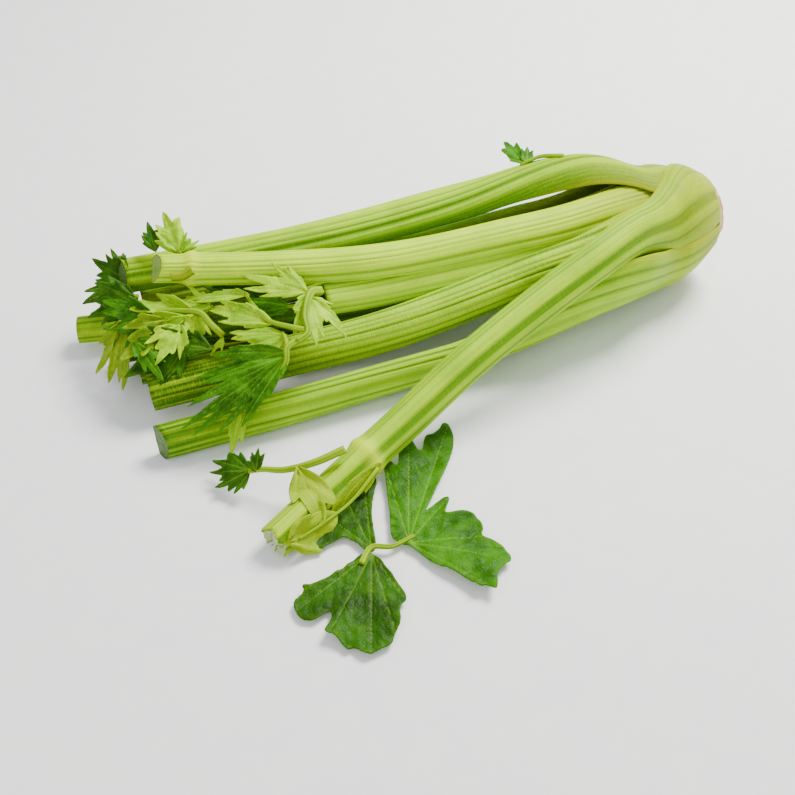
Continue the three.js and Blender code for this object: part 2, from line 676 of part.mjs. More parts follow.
/** Adds a solid as a mesh, cut clear of everything placed before it and of the table. */
function place(name, colour, build, { roughness = 0.5 } = {}) {
  const table = new THREE.BoxGeometry(1200, 1200, 100);
  table.translate(0, 0, -50);
  let solid = build(0).subtract(solidOf(table));
  for (const other of placed) solid = solid.subtract(other);
  solid = largestBody(solid);
  placed.push(build(GAP));
  const material = new THREE.MeshStandardMaterial({ color: colour, roughness, metalness: 0 });
  const mesh = new THREE.Mesh(geometryOf(solid), material);
  mesh.name = name;
  head.add(mesh);
}

for (const stalk of STALKS) {
  place(stalk.name, COLOURS[stalk.colour], (grow) => stalkSolid(stalk, grow));
}
for (const spray of SPRAYS) {
  place(spray.name, COLOURS[spray.colour], (grow) => spraySolid(spray, grow));
}
place('crown', COLOURS.root, () => crownSolid(), { roughness: 0.7 });

export default head;
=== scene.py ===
"""A head of celery on its side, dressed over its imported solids.

Each stalk is a ribbed crescent that widens into a sheath round the base, each spray is a bunch of
lobed and veined leaflets on round stems, and the crown is the turned root with its cut face.
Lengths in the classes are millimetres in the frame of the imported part; meshes are in metres.
"""

import logging
import math
from dataclasses import dataclass, field
from enum import Enum
from typing import Callable

import bpy
import numpy as np
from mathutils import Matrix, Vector


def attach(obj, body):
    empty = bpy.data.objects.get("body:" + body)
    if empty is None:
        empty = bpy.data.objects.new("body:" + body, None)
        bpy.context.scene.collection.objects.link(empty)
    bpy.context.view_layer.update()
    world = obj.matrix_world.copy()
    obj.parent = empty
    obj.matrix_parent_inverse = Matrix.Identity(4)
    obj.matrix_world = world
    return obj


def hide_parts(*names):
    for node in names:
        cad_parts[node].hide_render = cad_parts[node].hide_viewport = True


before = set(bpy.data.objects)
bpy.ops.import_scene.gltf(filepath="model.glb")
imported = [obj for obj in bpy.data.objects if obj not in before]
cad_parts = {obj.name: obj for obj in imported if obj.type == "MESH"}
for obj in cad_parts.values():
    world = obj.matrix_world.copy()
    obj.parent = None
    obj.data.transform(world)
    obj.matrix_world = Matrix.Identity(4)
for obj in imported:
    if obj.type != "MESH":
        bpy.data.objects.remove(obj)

LOG = logging.getLogger("celery")
METRE = 0.001

Array = np.ndarray
Point = tuple[float, float, float]
Flat = tuple[float, float]

AXIS_HEIGHT = 39.6
LAYER_RADII = (40.0, 34.2, 28.4, 22.6, 16.8)
LAYER_STARTS = (43.0, 37.5, 32.0, 26.5, 21.0)
SHEATH_THICKNESS = 5.0
BULB_START = 0.0
BULB_LENGTH = 46.0
BULB_TAPER = 0.46
ROOT_FACE_X = 50.0
ROOT_FACE_RADIUS = 17.0
SHEATH_LENGTH = 52.0
CLOSING_LENGTH = 26.0
FLOOR_GAP = 0.02
BLADE_THICKNESS = 0.55
BLADE_FLOOR_GAP = 0.7
ROUNDS = 80
MAX_ROUND = 16.0
DRAPE_GAP = 0.7
DRAPE_LIMIT = 9.0
DRAPE_REACH = 25.0


def ramp(value: Array | float) -> Array:
    """Rises smoothly from 0 to 1 as the value does."""
    share = np.clip(value, 0.0, 1.0)
    return share * share * (3.0 - 2.0 * share)


def mix(low: Array | float, high: Array | float, share: Array | float) -> Array | float:
    """The value that lies this share of the way from low to high."""
    return low + (high - low) * share


def unit(vectors: Array) -> Array:
    """The vectors at a length of one."""
    return vectors / np.maximum(np.linalg.norm(vectors, axis=-1, keepdims=True), 1e-9)


def colour(code: int) -> tuple[float, float, float, float]:
    """Reads a web colour such as 0xC8E04A as a linear one.

    Args:
        code: The web colour, as 0xRRGGBB.

    Returns:
        Red, green, blue and an alpha of 1.
    """
    parts = [((code >> shift) & 255) / 255 for shift in (16, 8, 0)]
    linear = [c / 12.92 if c < 0.04045 else ((c + 0.055) / 1.055) ** 2.4 for c in parts]
    return (linear[0], linear[1], linear[2], 1.0)


def ripple(points: Array, scale: float, seed: float) -> Array:
    """A smooth seeded unevenness between about -1 and 1, from a few crossed waves.

    Args:
        points: Positions, one row each.
        scale: How many radians of wave there are in a unit of length.
        seed: Shifts and turns the waves.

    Returns:
        One value for each position.
    """
    total = np.zeros(points.shape[:-1])
    for step in range(6):
        turn = seed * 1.7 + step * 2.399963
        lift = math.sin(seed * 3.1 + step * 1.9)
        heading = np.array([math.cos(turn), math.sin(turn), lift])[: points.shape[-1]]
        total += np.sin(points @ heading * scale * (0.7 + 0.31 * step) + seed * (step + 1.3))
    return total / 3.2


def bulb_factor(x: float) -> float:
    """How far the base has narrowed at x, as a factor of a layer's radius."""
    return 1 - BULB_TAPER * (max(x - BULB_START, 0.0) / BULB_LENGTH) ** 2


def smooth_path(points: list[Point], shares: Array) -> tuple[Array, Array, float]:
    """A Catmull-Rom curve through points, read at shares of its length.

    Args:
        points: The points that the curve passes through.
        shares: Where to read it, from 0 at its start to 1 at its end.

    Returns:
        Positions, unit tangents and the curve's length.
    """
    knots = np.array(points, float)
    knots = np.vstack([2 * knots[0] - knots[1], knots, 2 * knots[-1] - knots[-2]])
    t = np.linspace(0, 1, 60, endpoint=False)[:, None]
    pieces = []
    for i in range(1, len(knots) - 2):
        a, b, c, d = knots[i - 1: i + 3]
        pieces.append(0.5 * (2 * b + (c - a) * t + (2 * a - 5 * b + 4 * c - d) * t**2
                             + (3 * b - a - 3 * c + d) * t**3))
    line = np.vstack(pieces + [knots[-2][None]])
    gone = np.concatenate([[0.0], np.cumsum(np.linalg.norm(np.diff(line, axis=0), axis=1))])
    at = np.asarray(shares) * gone[-1]
    position = np.stack([np.interp(at, gone, line[:, k]) for k in range(3)], 1)
    slope = np.gradient(line, gone, axis=0)
    tangent = unit(np.stack([np.interp(at, gone, slope[:, k]) for k in range(3)], 1))
    return position, tangent, float(gone[-1])


@dataclass
class Surface:
    """What a shaped grid gets at each of its corners.

    Attributes:
        positions: Places in millimetres.
        uv: Places on the surface's own map, in metres.
        marks: Named numbers that the materials read.
        slots: The material slot of each corner; a face takes that of its lowest row.
    """

    positions: Array
    uv: Array
    marks: dict[str, Array] = field(default_factory=dict)
    slots: Array | None = None


def new_grid(name: str, columns: int, rows: int) -> bpy.types.Object:
    """Adds a flat grid of faces, from -1 to 1 each way, with nothing else selected.

    Args:
        name: The object's name.
        columns: Faces along X.
        rows: Faces along Y.

    Returns:
        The grid, which is the active object.
    """
    bpy.ops.object.select_all(action="DESELECT")
    bpy.ops.mesh.primitive_grid_add(x_subdivisions=columns, y_subdivisions=rows, size=2.0)
    grid = bpy.context.object
    grid.name = grid.data.name = name
    return grid


def read(items: bpy.types.bpy_prop_collection, name: str, width: int, kind: type = float) -> Array:
    """Reads one property of every item of a mesh.

    Args:
        items: The mesh's vertices, edges, loops or faces.
        name: The property.
        width: How many numbers each item has.
        kind: Whether they are int or float.

    Returns:
        One row for each item.
    """
    values = np.empty(len(items) * width, dtype=np.int32 if kind is int else float)
    items.foreach_get(name, values)
    return values.reshape(-1, width)


def lay(mesh: bpy.types.Mesh, surface: Surface) -> Array:
    """Moves a mesh's corners onto a surface, with its map and marks.

    Args:
        mesh: The mesh, with one corner for each place on the surface.
        surface: The surface.

    Returns:
        The corner that each loop of the mesh starts at.
    """
    mesh.vertices.foreach_set("co", (surface.positions * METRE).ravel())
    for mark, values in surface.marks.items():
        attribute = mesh.attributes.new(mark, "FLOAT", "POINT")
        attribute.data.foreach_set("value", np.asarray(values, float))
    corner = read(mesh.loops, "vertex_index", 1, int).ravel()
    mesh.uv_layers[0].data.foreach_set("uv", surface.uv[corner].ravel())
    mesh.update()
    return corner


def shaped_grid(name: str, rows: int, columns: int, place: Callable[[Array, Array], Surface]
                ) -> bpy.types.Object:
    """Adds a grid, lays its corners on a closed surface, and welds its seams.

    Args:
        name: The object's name.
        rows: Faces along the grid's first way.
        columns: Faces along its second way.
        place: Gives the surface for arrays of row and column numbers.

    Returns:
        The new object.
    """
    grid = new_grid(name, columns, rows)
    mesh = grid.data
    flat = read(mesh.vertices, "co", 3)
    column = np.rint((flat[:, 0] + 1) / 2 * columns).astype(int)
    row = np.rint((flat[:, 1] + 1) / 2 * rows).astype(int)
    surface = place(row, column)
    corner = lay(mesh, surface)
    if surface.slots is not None:
        quads = corner.reshape(-1, 4)
        mesh.polygons.foreach_set("material_index", surface.slots[quads].min(axis=1).astype(np.int32))
    bpy.ops.object.mode_set(mode="EDIT")
    bpy.ops.mesh.select_all(action="SELECT")
    bpy.ops.mesh.remove_doubles(threshold=2e-6)
    bpy.ops.mesh.normals_make_consistent(inside=False)
    bpy.ops.object.mode_set(mode="OBJECT")
    bpy.ops.object.shade_smooth()
    return grid


def edge_distance(points: Array, outline: Array) -> tuple[Array, Array]:
    """Measures how far points are from a closed outline.

    Args:
        points: The points, one row each.
        outline: The outline's corners in order.

    Returns:
        The distance of each point, and the nearest point on the outline.
    """
    best = np.full(len(points), np.inf)
    nearest = points.copy()
    for start, end in zip(outline, np.roll(outline, -1, axis=0)):
        run = end - start
        share = np.clip(((points - start) @ run) / max(run @ run, 1e-12), 0, 1)
        foot = start + share[:, None] * run
        gap = np.hypot(*(points - foot).T)
        closer = gap < best
        best[closer] = gap[closer]
        nearest[closer] = foot[closer]
    return best, nearest


def is_inside(points: Array, outline: Array) -> Array:
    """Tells which points lie inside a closed outline.

    Args:
        points: The points, one row each.
        outline: The outline's corners in order.

    Returns:
        True for each point inside.
    """
    inside = np.zeros(len(points), bool)
    x, y = points.T
    for (ax, ay), (bx, by) in zip(outline, np.roll(outline, -1, axis=0)):
        if ay != by:
            inside ^= ((ay > y) != (by > y)) & (x < (bx - ax) * (y - ay) / (by - ay) + ax)
    return inside


def trimmed_grid(name: str, outline: Array, cell: float,
                 place: Callable[[Array], Surface]) -> bpy.types.Object:
    """Adds a grid, trims it to an outline, and lays its corners on a surface.

    Args:
        name: The object's name.
        outline: The closed outline in the grid's plane, in millimetres.
        cell: The size of the grid's faces.
        place: Gives the surface for places in the plane.

    Returns:
        The new object.
    """
    low, high = outline.min(0) - cell, outline.max(0) + cell
    count = np.ceil((high - low) / cell).astype(int)
    grid = new_grid(name, int(count[0]), int(count[1]))
    mesh = grid.data
    trim(mesh, lambda middles: is_inside(low + (middles + 1) / 2 * (high - low), outline))
    flat = low + (read(mesh.vertices, "co", 3)[:, :2] + 1) / 2 * (high - low)
    lay(mesh, place(fitted(mesh, flat, outline)))
    bpy.ops.object.mode_set(mode="EDIT")
    bpy.ops.mesh.select_all(action="SELECT")
    bpy.ops.mesh.remove_doubles(threshold=2e-5)
    bpy.ops.mesh.dissolve_degenerate(threshold=1e-5)
    bpy.ops.object.mode_set(mode="OBJECT")
    bpy.ops.object.shade_smooth()
    return grid


def trim(mesh: bpy.types.Mesh, keep: Callable[[Array], Array]) -> None:
    """Deletes the faces of a flat mesh whose middles aren't kept.

    Args:
        mesh: The active object's mesh, flat from -1 to 1.
        keep: Tells for the middles of faces which to keep.
    """
    bpy.ops.object.mode_set(mode="EDIT")
    bpy.ops.mesh.select_mode(type="FACE")
    bpy.ops.mesh.select_all(action="DESELECT")
    bpy.ops.object.mode_set(mode="OBJECT")
    mesh.polygons.foreach_set("select", ~keep(read(mesh.polygons, "center", 3)[:, :2]))
    bpy.ops.object.mode_set(mode="EDIT")
    bpy.ops.mesh.delete(type="FACE")
    bpy.ops.object.mode_set(mode="OBJECT")


def fitted(mesh: bpy.types.Mesh, flat: Array, outline: Array, rounds: int = 4) -> Array:
    """Moves a trimmed grid's rim onto its outline and evens out the corners inside.

    Args:
        mesh: The trimmed mesh.
        flat: Its corners in the outline's plane.
        outline: The closed outline.
        rounds: How often the corners inside move towards their neighbours.

    Returns:
        The new places of the corners.
    """
    ends = read(mesh.edges, "vertices", 2, int)
    uses = np.bincount(read(mesh.loops, "edge_index", 1, int).ravel(), minlength=len(ends))
    on_rim = np.zeros(len(flat), bool)
    on_rim[ends[uses == 1].ravel()] = True
    flat = flat.copy()
    flat[on_rim] = edge_distance(flat[on_rim], outline)[1]
    for _ in range(rounds):
        total, number = np.zeros_like(flat), np.zeros(len(flat))
        for a, b in ((0, 1), (1, 0)):
            np.add.at(total, ends[:, a], flat[ends[:, b]])
            np.add.at(number, ends[:, a], 1)
        flat[~on_rim] = mix(flat, total / number[:, None], 0.5)[~on_rim]
    return flat


def join(objects: list[bpy.types.Object], name: str) -> bpy.types.Object:
    """Joins objects into one.

    Args:
        objects: What to join; the first keeps its material slots in front.
        name: The joined object's name.

    Returns:
        The joined object.
    """
    bpy.ops.object.select_all(action="DESELECT")
    for obj in objects:
        obj.select_set(True)
    bpy.context.view_layer.objects.active = objects[0]
    if len(objects) > 1:
        bpy.ops.object.join()
    joined = bpy.context.view_layer.objects.active
    joined.name = joined.data.name = name
    return joined


class Graph:
    """A material's node tree, with short calls that add and join its nodes."""

    def __init__(self, name: str) -> None:
        """Starts an empty material with an output and a principled shader.

        Args:
            name: The material's name.
        """
        self.material = bpy.data.materials.new(name)
        self.material.use_nodes = True
        self.tree = self.material.node_tree
        self.tree.nodes.clear()
        self.shader = self.tree.nodes.new("ShaderNodeBsdfPrincipled")
        output = self.tree.nodes.new("ShaderNodeOutputMaterial")
        self.tree.links.new(self.shader.outputs[0], output.inputs[0])

    def put(self, socket: bpy.types.NodeSocket, value: object) -> None:
        """Links a socket to another, or sets its value.

        Args:
            socket: The input socket.
            value: An output socket to link, or the value.
        """
        if isinstance(value, bpy.types.NodeSocket):
            self.tree.links.new(value, socket)
        else:
            socket.default_value = value

    def node(self, kind: str, *values: object, **settings: object) -> bpy.types.Node:
        """Adds a node.

        Args:
            kind: The node's type.
            values: What its inputs get, in order; None skips one.
            settings: Its properties.

        Returns:
            The node.
        """
        made = self.tree.nodes.new(kind)
        for key, value in settings.items():
            setattr(made, key, value)
        for socket, value in zip(made.inputs, values):
            if value is not None:
                self.put(socket, value)
        return made

    def mark(self, name: str) -> bpy.types.NodeSocket:
        """The number that the mesh carries under a name."""
        return self.node("ShaderNodeAttribute", attribute_name=name).outputs["Fac"]

    def math(self, operation: str, *values: object) -> bpy.types.NodeSocket:
        """A sum, product or other operation on numbers."""
        return self.node("ShaderNodeMath", *values, operation=operation).outputs[0]

    def span(self, value: object, low: float, high: float, to_low: float = 0.0,
             to_high: float = 1.0) -> bpy.types.NodeSocket:
        """Maps a number smoothly from one range to another.

        Args:
            value: The number.
            low: The start of its range.
            high: The end of its range.
            to_low: What the start becomes.
            to_high: What the end becomes.

        Returns:
            The mapped number.
        """
        made = self.node("ShaderNodeMapRange", interpolation_type="SMOOTHSTEP")
        for socket, item in zip(made.inputs, (value, low, high, to_low, to_high)):
            self.put(socket, item)
        return made.outputs[0]

    def blend(self, share: object, first: object, second: object) -> bpy.types.NodeSocket:
        """Blends two colours.

        Args:
            share: The share of the second.
            first: The first colour.
            second: The second colour.

        Returns:
            The blended colour.
        """
        made = self.node("ShaderNodeMix", data_type="RGBA")
        self.put(made.inputs[0], share)
        self.put(made.inputs[6], first)
        self.put(made.inputs[7], second)
        return made.outputs[2]

    def ramp(self, share: object, stops: list[tuple[float, int]]) -> bpy.types.NodeSocket:
        """Reads a run of web colours, each at its place between 0 and 1.

        Args:
            share: Where to read the run.
            stops: The places and web colours.

        Returns:
            The colour.
        """
        made = self.node("ShaderNodeValToRGB", share)
        points = made.color_ramp.elements
        while len(points) < len(stops):
            points.new(0.5)
        for point, (place, code) in zip(points, stops):
            point.position = place
            point.color = colour(code)
        return made.outputs[0]

    def place(self, scale: Point = (1.0, 1.0, 1.0), shift: Point = (0.0, 0.0, 0.0),
              own_map: bool = False) -> bpy.types.NodeSocket:
        """Object coordinates, or the surface's own map, scaled and shifted."""
        source = self.node("ShaderNodeTexCoord").outputs["UV" if own_map else "Object"]
        return self.node("ShaderNodeMapping", source, shift, None, scale).outputs[0]

    def noise(self, vector: object, scale: float, detail: float = 3.0, roughness: float = 0.5
              ) -> bpy.types.NodeSocket:
        """Adds a noise.

        Args:
            vector: Where to read it.
            scale: How fine it is.
            detail: How many finer layers it has.
            roughness: How strong those are.

        Returns:
            The noise, between 0 and 1.
        """
        made = self.node("ShaderNodeTexNoise")
        self.put(made.inputs["Vector"], vector)
        made.inputs["Scale"].default_value = scale
        made.inputs["Detail"].default_value = detail
        made.inputs["Roughness"].default_value = roughness
        return made.outputs["Fac"]

    def cells(self, vector: object, scale: float) -> bpy.types.NodeSocket:
        """Adds a pattern of cells.

        Args:
            vector: Where to read it.
            scale: How fine the cells are.

        Returns:
            The distance from the nearest wall.
        """
        made = self.node("ShaderNodeTexVoronoi", feature="DISTANCE_TO_EDGE")
        self.put(made.inputs["Vector"], vector)
        made.inputs["Scale"].default_value = scale
        return made.outputs["Distance"]

    def finish(self, base: object, roughness: object, height: object, depth: float,
               **constants: float) -> bpy.types.Material:
        """Feeds the shader.

        Args:
            base: The surface colour.
            roughness: The roughness.
            height: The height that the bump follows.
            depth: How deep the bump is, in metres.
            constants: Other shader sockets by name, with underscores for spaces.

        Returns:
            The finished material.
        """
        self.put(self.shader.inputs["Base Color"], base)
        self.put(self.shader.inputs["Roughness"], roughness)
        bump = self.node("ShaderNodeBump")
        bump.inputs["Strength"].default_value = 1.0
        bump.inputs["Distance"].default_value = depth
        self.put(bump.inputs["Height"], height)
        self.put(self.shader.inputs["Normal"], bump.outputs[0])
        for name, value in constants.items():
            self.shader.inputs[name.replace("_", " ")].default_value = value
        return self.material


@dataclass(frozen=True)
class StalkSkin:
    """The skin of a stalk: pale at the base, green along its length, darker in its grooves.

    The grooves' darkening is partly their own greener colour and partly painted shade, the ridges
    carry a painted highlight over their own paler green, and near the cut the skin turns to its end
    colour, which on the low stalks is painted shade on their far ends.
    """

    name: str
    pale: int = 0x98AA00
    body: int = 0xAADC00
    groove: int = 0x5E9A00
    # Ridge colour: the ridges' own paler green, also used as a painted highlight on them.
    ridge: int = 0xCBFA30
    # Colour near the cut; where it is darker than the body it is painted shade on the far end.
    end: int = 0x86B800
    pale_until: float = 0.10
    end_from: float = 0.26
    hatch: float = 0.25
    seed: float = 0.0

    def make(self) -> bpy.types.Material:
        """Builds the material from the marks rib, along, rim, inner and collar.

        Returns:
            The material.
        """
        g = Graph(self.name)
        along, rib, rim, inner, collar = (g.mark(m) for m in ("along", "rib", "rim", "inner", "collar"))
        streaks = g.noise(g.place((900.0, 16.0, 1.0), (self.seed, 0, 0), own_map=True), 1.0, 3.0, 0.6)
        flecks = g.noise(g.place((1300.0, 1500.0, 1.0), (self.seed, 0, 0), own_map=True), 1.0, 2.0, 0.7)
        rungs = g.noise(g.place((300.0, 2300.0, 1.0), (self.seed, 1, 0), own_map=True), 1.0, 2.0, 0.5)
        clouds = g.noise(g.place(shift=(self.seed, 0, 0)), 38.0, 3.0)
        tint = g.blend(g.span(along, 0.0, self.pale_until), colour(self.pale), colour(self.body))
        # Painted shade: towards the cut the skin turns to the end colour, dark on the low stalks whose far
        # ends lie in shade.
        tint = g.blend(g.span(along, self.end_from, self.end_from + 0.10), tint, colour(self.end))
        # Darker in the grooves: partly the stalk's own greener grooves and partly painted shade in them.
        green = g.span(along, 0.005, self.pale_until, 0.75, 1.0)
        low = g.math("MULTIPLY", g.span(rib, 0.05, 0.8, 1.0, 0.0), green)
        sunk = g.blend(g.span(along, 0.03, 0.13), colour(0x5A7400), colour(self.groove))
        tint = g.blend(g.math("MULTIPLY", low, 0.85), tint, sunk)
        # Painted highlight: the ridges are lightened towards the ridge colour, over their own paler green;
        # the same colour also gives the real light streaks below.
        high = g.math("MULTIPLY", g.span(rib, 0.6, 1.0), g.span(streaks, 0.3, 0.7, 0.1, 0.6))
        ridge_highlight_and_streak = g.blend(g.span(along, 0.02, 0.12), colour(0xAEBC00), colour(self.ridge))
        tint = g.blend(high, tint, ridge_highlight_and_streak)
        tint = g.blend(g.span(clouds, 0.35, 0.75, 0.0, 0.3), tint, sunk)
        tint = g.blend(g.span(streaks, 0.5, 0.75, 0.0, 0.12), tint, ridge_highlight_and_streak)
        tint = g.blend(g.span(rungs, 0.5, 0.8, 0.0, self.hatch), tint, colour(self.ridge))
        tint = g.blend(g.span(rungs, 0.5, 0.2, 0.0, self.hatch), tint, colour(self.groove))
        tint = g.blend(g.span(flecks, 0.62, 0.8, 0.0, 0.16), tint, colour(self.groove))
        thin = g.math("MULTIPLY", g.span(rim, 0.82, 1.0), g.span(along, 0.05, 0.14, 0.75, 0.1))
        tint = g.blend(thin, tint, colour(0xACB400))
        tint = g.blend(g.math("MULTIPLY", inner, 0.55), tint, colour(self.pale))
        tint = g.blend(g.math("MULTIPLY", collar, 0.7), tint, colour(0xCCE410))
        height = g.math("ADD", g.math("MULTIPLY", streaks, 0.6), g.math("MULTIPLY", rungs, self.hatch))
        height = g.math("ADD", height, g.math("MULTIPLY", flecks, 0.2))
        rough = g.span(flecks, 0.3, 0.8, 0.40, 0.56)
        return g.finish(tint, rough, height, 0.0006, Specular_IOR_Level=0.09,
                        Subsurface_Weight=0.02, Subsurface_Scale=0.002)


@dataclass(frozen=True)
class CutFlesh:
    """The face of a cut stalk: a green skin line, a ring of strings and wetter pith inside."""

    name: str
    rim: int = 0x5C8400
    pith: int = 0x84A818
    string: int = 0xA8C440

    def make(self) -> bpy.types.Material:
        """Builds the material from the marks depth and across.

        Returns:
            The material.
        """
        g = Graph(self.name)
        depth, across = g.mark("depth"), g.mark("across")
        grain = g.noise(g.place(), 900.0, 4.0, 0.7)
        blots = g.noise(g.place(), 160.0, 2.0)
        tint = g.blend(g.span(depth, 0.55, 0.98), colour(self.pith), colour(self.rim))
        beads = g.math("SINE", g.math("MULTIPLY", across, 46.0))
        ring = g.math("MULTIPLY", g.span(depth, 0.45, 0.62), g.span(depth, 0.7, 0.86, 1.0, 0.0))
        tint = g.blend(g.math("MULTIPLY", ring, g.span(beads, 0.1, 0.9)), tint, colour(self.string))
        tint = g.blend(g.span(blots, 0.45, 0.75, 0.0, 0.55), tint, colour(self.rim))
        tint = g.blend(g.span(grain, 0.35, 0.7, 0.35, 0.0), tint, colour(0x4E6A1E))
        return g.finish(tint, g.span(grain, 0.3, 0.7, 0.35, 0.6), grain, 0.0006,
                        Specular_IOR_Level=0.3, Subsurface_Weight=0.05, Subsurface_Scale=0.002)


@dataclass(frozen=True)
class LeafBlade:
    """One face of a leaf: light veins over cells of green, blotched and paler at its edge."""

    name: str
    deep: int
    green: int
    light: int
    vein: int
    seed: float = 0.0
    gloss: float = 0.42

    def make(self) -> bpy.types.Material:
        """Builds the material from the marks vein and margin.

        Returns:
            The material.
        """
        g = Graph(self.name)
        vein, margin = g.mark("vein"), g.mark("margin")
        shift = (self.seed, self.seed * 0.7, 0.0)
        clouds = g.noise(g.place(shift=shift), 48.0, 3.0)
        mottle = g.noise(g.place(shift=shift), 120.0, 2.0, 0.5)
        areoles = g.cells(g.place(shift=shift), 520.0)
        tint = g.blend(g.span(clouds, 0.35, 0.65), colour(self.deep), colour(self.green))
        tint = g.blend(g.span(mottle, 0.45, 0.8, 0.0, 0.45), tint, colour(self.light))
        tint = g.blend(g.span(areoles, 0.0, 0.10, 0.06, 0.0), tint, colour(self.vein))
        tint = g.blend(g.math("MULTIPLY", margin, 0.3), tint, colour(self.light))
        tint = g.blend(g.span(vein, 0.2, 0.95, 0.0, 0.45), tint, colour(self.vein))
        height = g.math("ADD", g.span(areoles, 0.0, 0.3), g.math("MULTIPLY", mottle, 1.5))
        return g.finish(tint, g.span(mottle, 0.3, 0.8, self.gloss, self.gloss + 0.16), height, 0.00010,
                        Specular_IOR_Level=0.10, Subsurface_Weight=0.01, Subsurface_Scale=0.002)


@dataclass(frozen=True)
class RootBark:
    """The cut root: a cream disc with a brown rim and scars, paler yellow where sheaths begin."""

    name: str = "root_cut"

    def make(self) -> bpy.types.Material:
        """Builds the material from the mark reach, the distance from the root's axis.

        Returns:
            The material.
        """
        g = Graph(self.name)
        reach = g.mark("reach")
        grain = g.noise(g.place(), 420.0, 4.0, 0.7)
        blots = g.noise(g.place(), 130.0, 3.0)
        tint = g.ramp(reach, [(0.0, 0xE6DCA6), (0.30, 0xEFE7B8), (0.55, 0xD9C98C), (0.66, 0xA98A4E),
                              (0.78, 0xCDBB74), (1.0, 0xEDEBA0)])
        tint = g.blend(g.span(blots, 0.5, 0.72, 0.0, 0.55), tint, colour(0xB08B52))
        tint = g.blend(g.span(grain, 0.58, 0.8, 0.0, 0.5), tint, colour(0x7D5F34))
        return g.finish(tint, g.span(grain, 0.3, 0.8, 0.55, 0.8), grain, 0.0012,
                        Specular_IOR_Level=0.3, Subsurface_Weight=0.08, Subsurface_Scale=0.003)


class Palette:
    """Every finish of the head, each made once."""

    def __init__(self) -> None:
        """Makes the finishes."""
        # The dark end colours of the front, far, middle and dark skins are painted shade on the stalks'
        # far ends.
        skins = {
            "splayed": StalkSkin("skin_splayed", body=0x9CC800, groove=0x427C00, ridge=0xC2EC00,
                                 end=0x9EC000, pale_until=0.08, seed=1.0),
            "front": StalkSkin("skin_front", body=0x90C000, groove=0x407800, ridge=0xC0F000,
                               end=0x3C6800, pale_until=0.07, end_from=0.27, seed=2.0),
            "far": StalkSkin("skin_far", body=0xA0CC00, groove=0x3C7400, ridge=0xC8F000, end=0x6C9C00,
                             end_from=0.31, seed=3.0),
            "middle": StalkSkin("skin_middle", body=0x9CC800, groove=0x3C7400, ridge=0xCAF200,
                                end=0x2C5600, end_from=0.23, hatch=0.5, seed=4.0),
            "top": StalkSkin("skin_top", body=0xBEE800, groove=0x70A800, ridge=0xDEF800, end=0xC0E400,
                             pale_until=0.14, end_from=0.30, seed=5.0),
            "dark": StalkSkin("skin_dark", body=0x6C9C00, groove=0x3A6A00, ridge=0x90C000,
                              end=0x2A5000, end_from=0.16, seed=6.0),
            "young": StalkSkin("skin_young", body=0xB0DC00, groove=0x6CA800, ridge=0xD0F810,
                               end=0xB0D400, seed=7.0),
            "heart": StalkSkin("skin_heart", pale=0xF3F560, body=0xE4F020, groove=0xC8E000,
                               ridge=0xF4F560, end=0xD0E020, seed=8.0),
            "stem": StalkSkin("skin_stem", pale=0xA0C400, body=0x8CB800, groove=0x5C8C00,
                              ridge=0xACD400, end=0x8CB400, pale_until=0.02, end_from=0.05, seed=9.0),
        }
        leaves = {
            # The dark blade is partly the leaves' own deep green and partly painted shade, for leaves that
            # lie in shadow among the stalks.
            "dark": ((0x183C00, 0x2A5C00, 0x4C7C00, 0x6C9420), (0x4A7008, 0x5A8410, 0x70961C, 0x8CA838)),
            "green": ((0x225200, 0x347200, 0x4E9000, 0x78AC18), (0x5A8400, 0x6C9800, 0x84AC08, 0x9CC030)),
            "bright": ((0x74A800, 0x9CCC00, 0xBEE400, 0xC8E818), (0x78A400, 0x94BC00, 0xB0D000, 0xC0DC28)),
            "olive": ((0x5C8400, 0x80A000, 0xA4C008, 0xB4C820), (0x6C8800, 0x86A000, 0xA0B818, 0xB0C438)),
            "pale": ((0x7C9C00, 0x98B800, 0xB4CC10, 0xBCD028), (0x7C9C00, 0x98B800, 0xB4CC10, 0xBCD028)),
        }
        blades = {}
        for number, (key, (above, below)) in enumerate(leaves.items()):
            seed = 2.0 * number + 1
            blades[key] = LeafBlade(f"blade_{key}", *above, seed=seed)
            blades[f"{key}_under"] = LeafBlade(f"blade_{key}_under", *below, seed=seed + 1, gloss=0.6)
        self.skins = {key: finish.make() for key, finish in skins.items()}
        self.blades = {key: finish.make() for key, finish in blades.items()}
        self.cuts = {
            "fresh": CutFlesh("cut_flesh").make(),
            # Painted shade: a darker copy of the cut flesh for the cut faces that lie in shade.
            "dark": CutFlesh("cut_flesh_shaded", 0x2C4C04, 0x4C6C18, 0x6C8C34).make(),
            "torn": CutFlesh("cut_flesh_torn", 0x86A828, 0xCCD89C, 0xE4EABC).make(),
        }
        self.root = RootBark().make()


@dataclass
class Section:
    """The sections of a stalk at some places along it.

    Attributes:
        spine: The middle of its thickness at the crest of its back.
        tangent: The way it runs.
        out: The way its back faces.
        side: The way across it.
        gone: Distance from the crown.
        length: The whole stalk's length.
        turned: How far it has turned from a sheath to a stalk, from 0 to 1.
        radius: The radius of its curve.
        thickness: Its thickness at the crest.
        reach: How far it reaches to each side, in radians.
    """

    spine: Array
    tangent: Array
    out: Array
    side: Array
    gone: Array
    length: float
    turned: Array
    radius: Array
    thickness: Array
    reach: Array


@dataclass
class Node:
    """A joint on a stalk, where a collar swells and the stalk beyond it is thinner.

    Attributes:
        before_end: Distance back from the cut.
        swell: How far the collar stands out.
        width: Half the collar's length.
        beyond: Share of the size that the stalk keeps beyond it.
    """

    before_end: float
    swell: float = 1.2
    width: float = 4.0
    beyond: float = 0.88


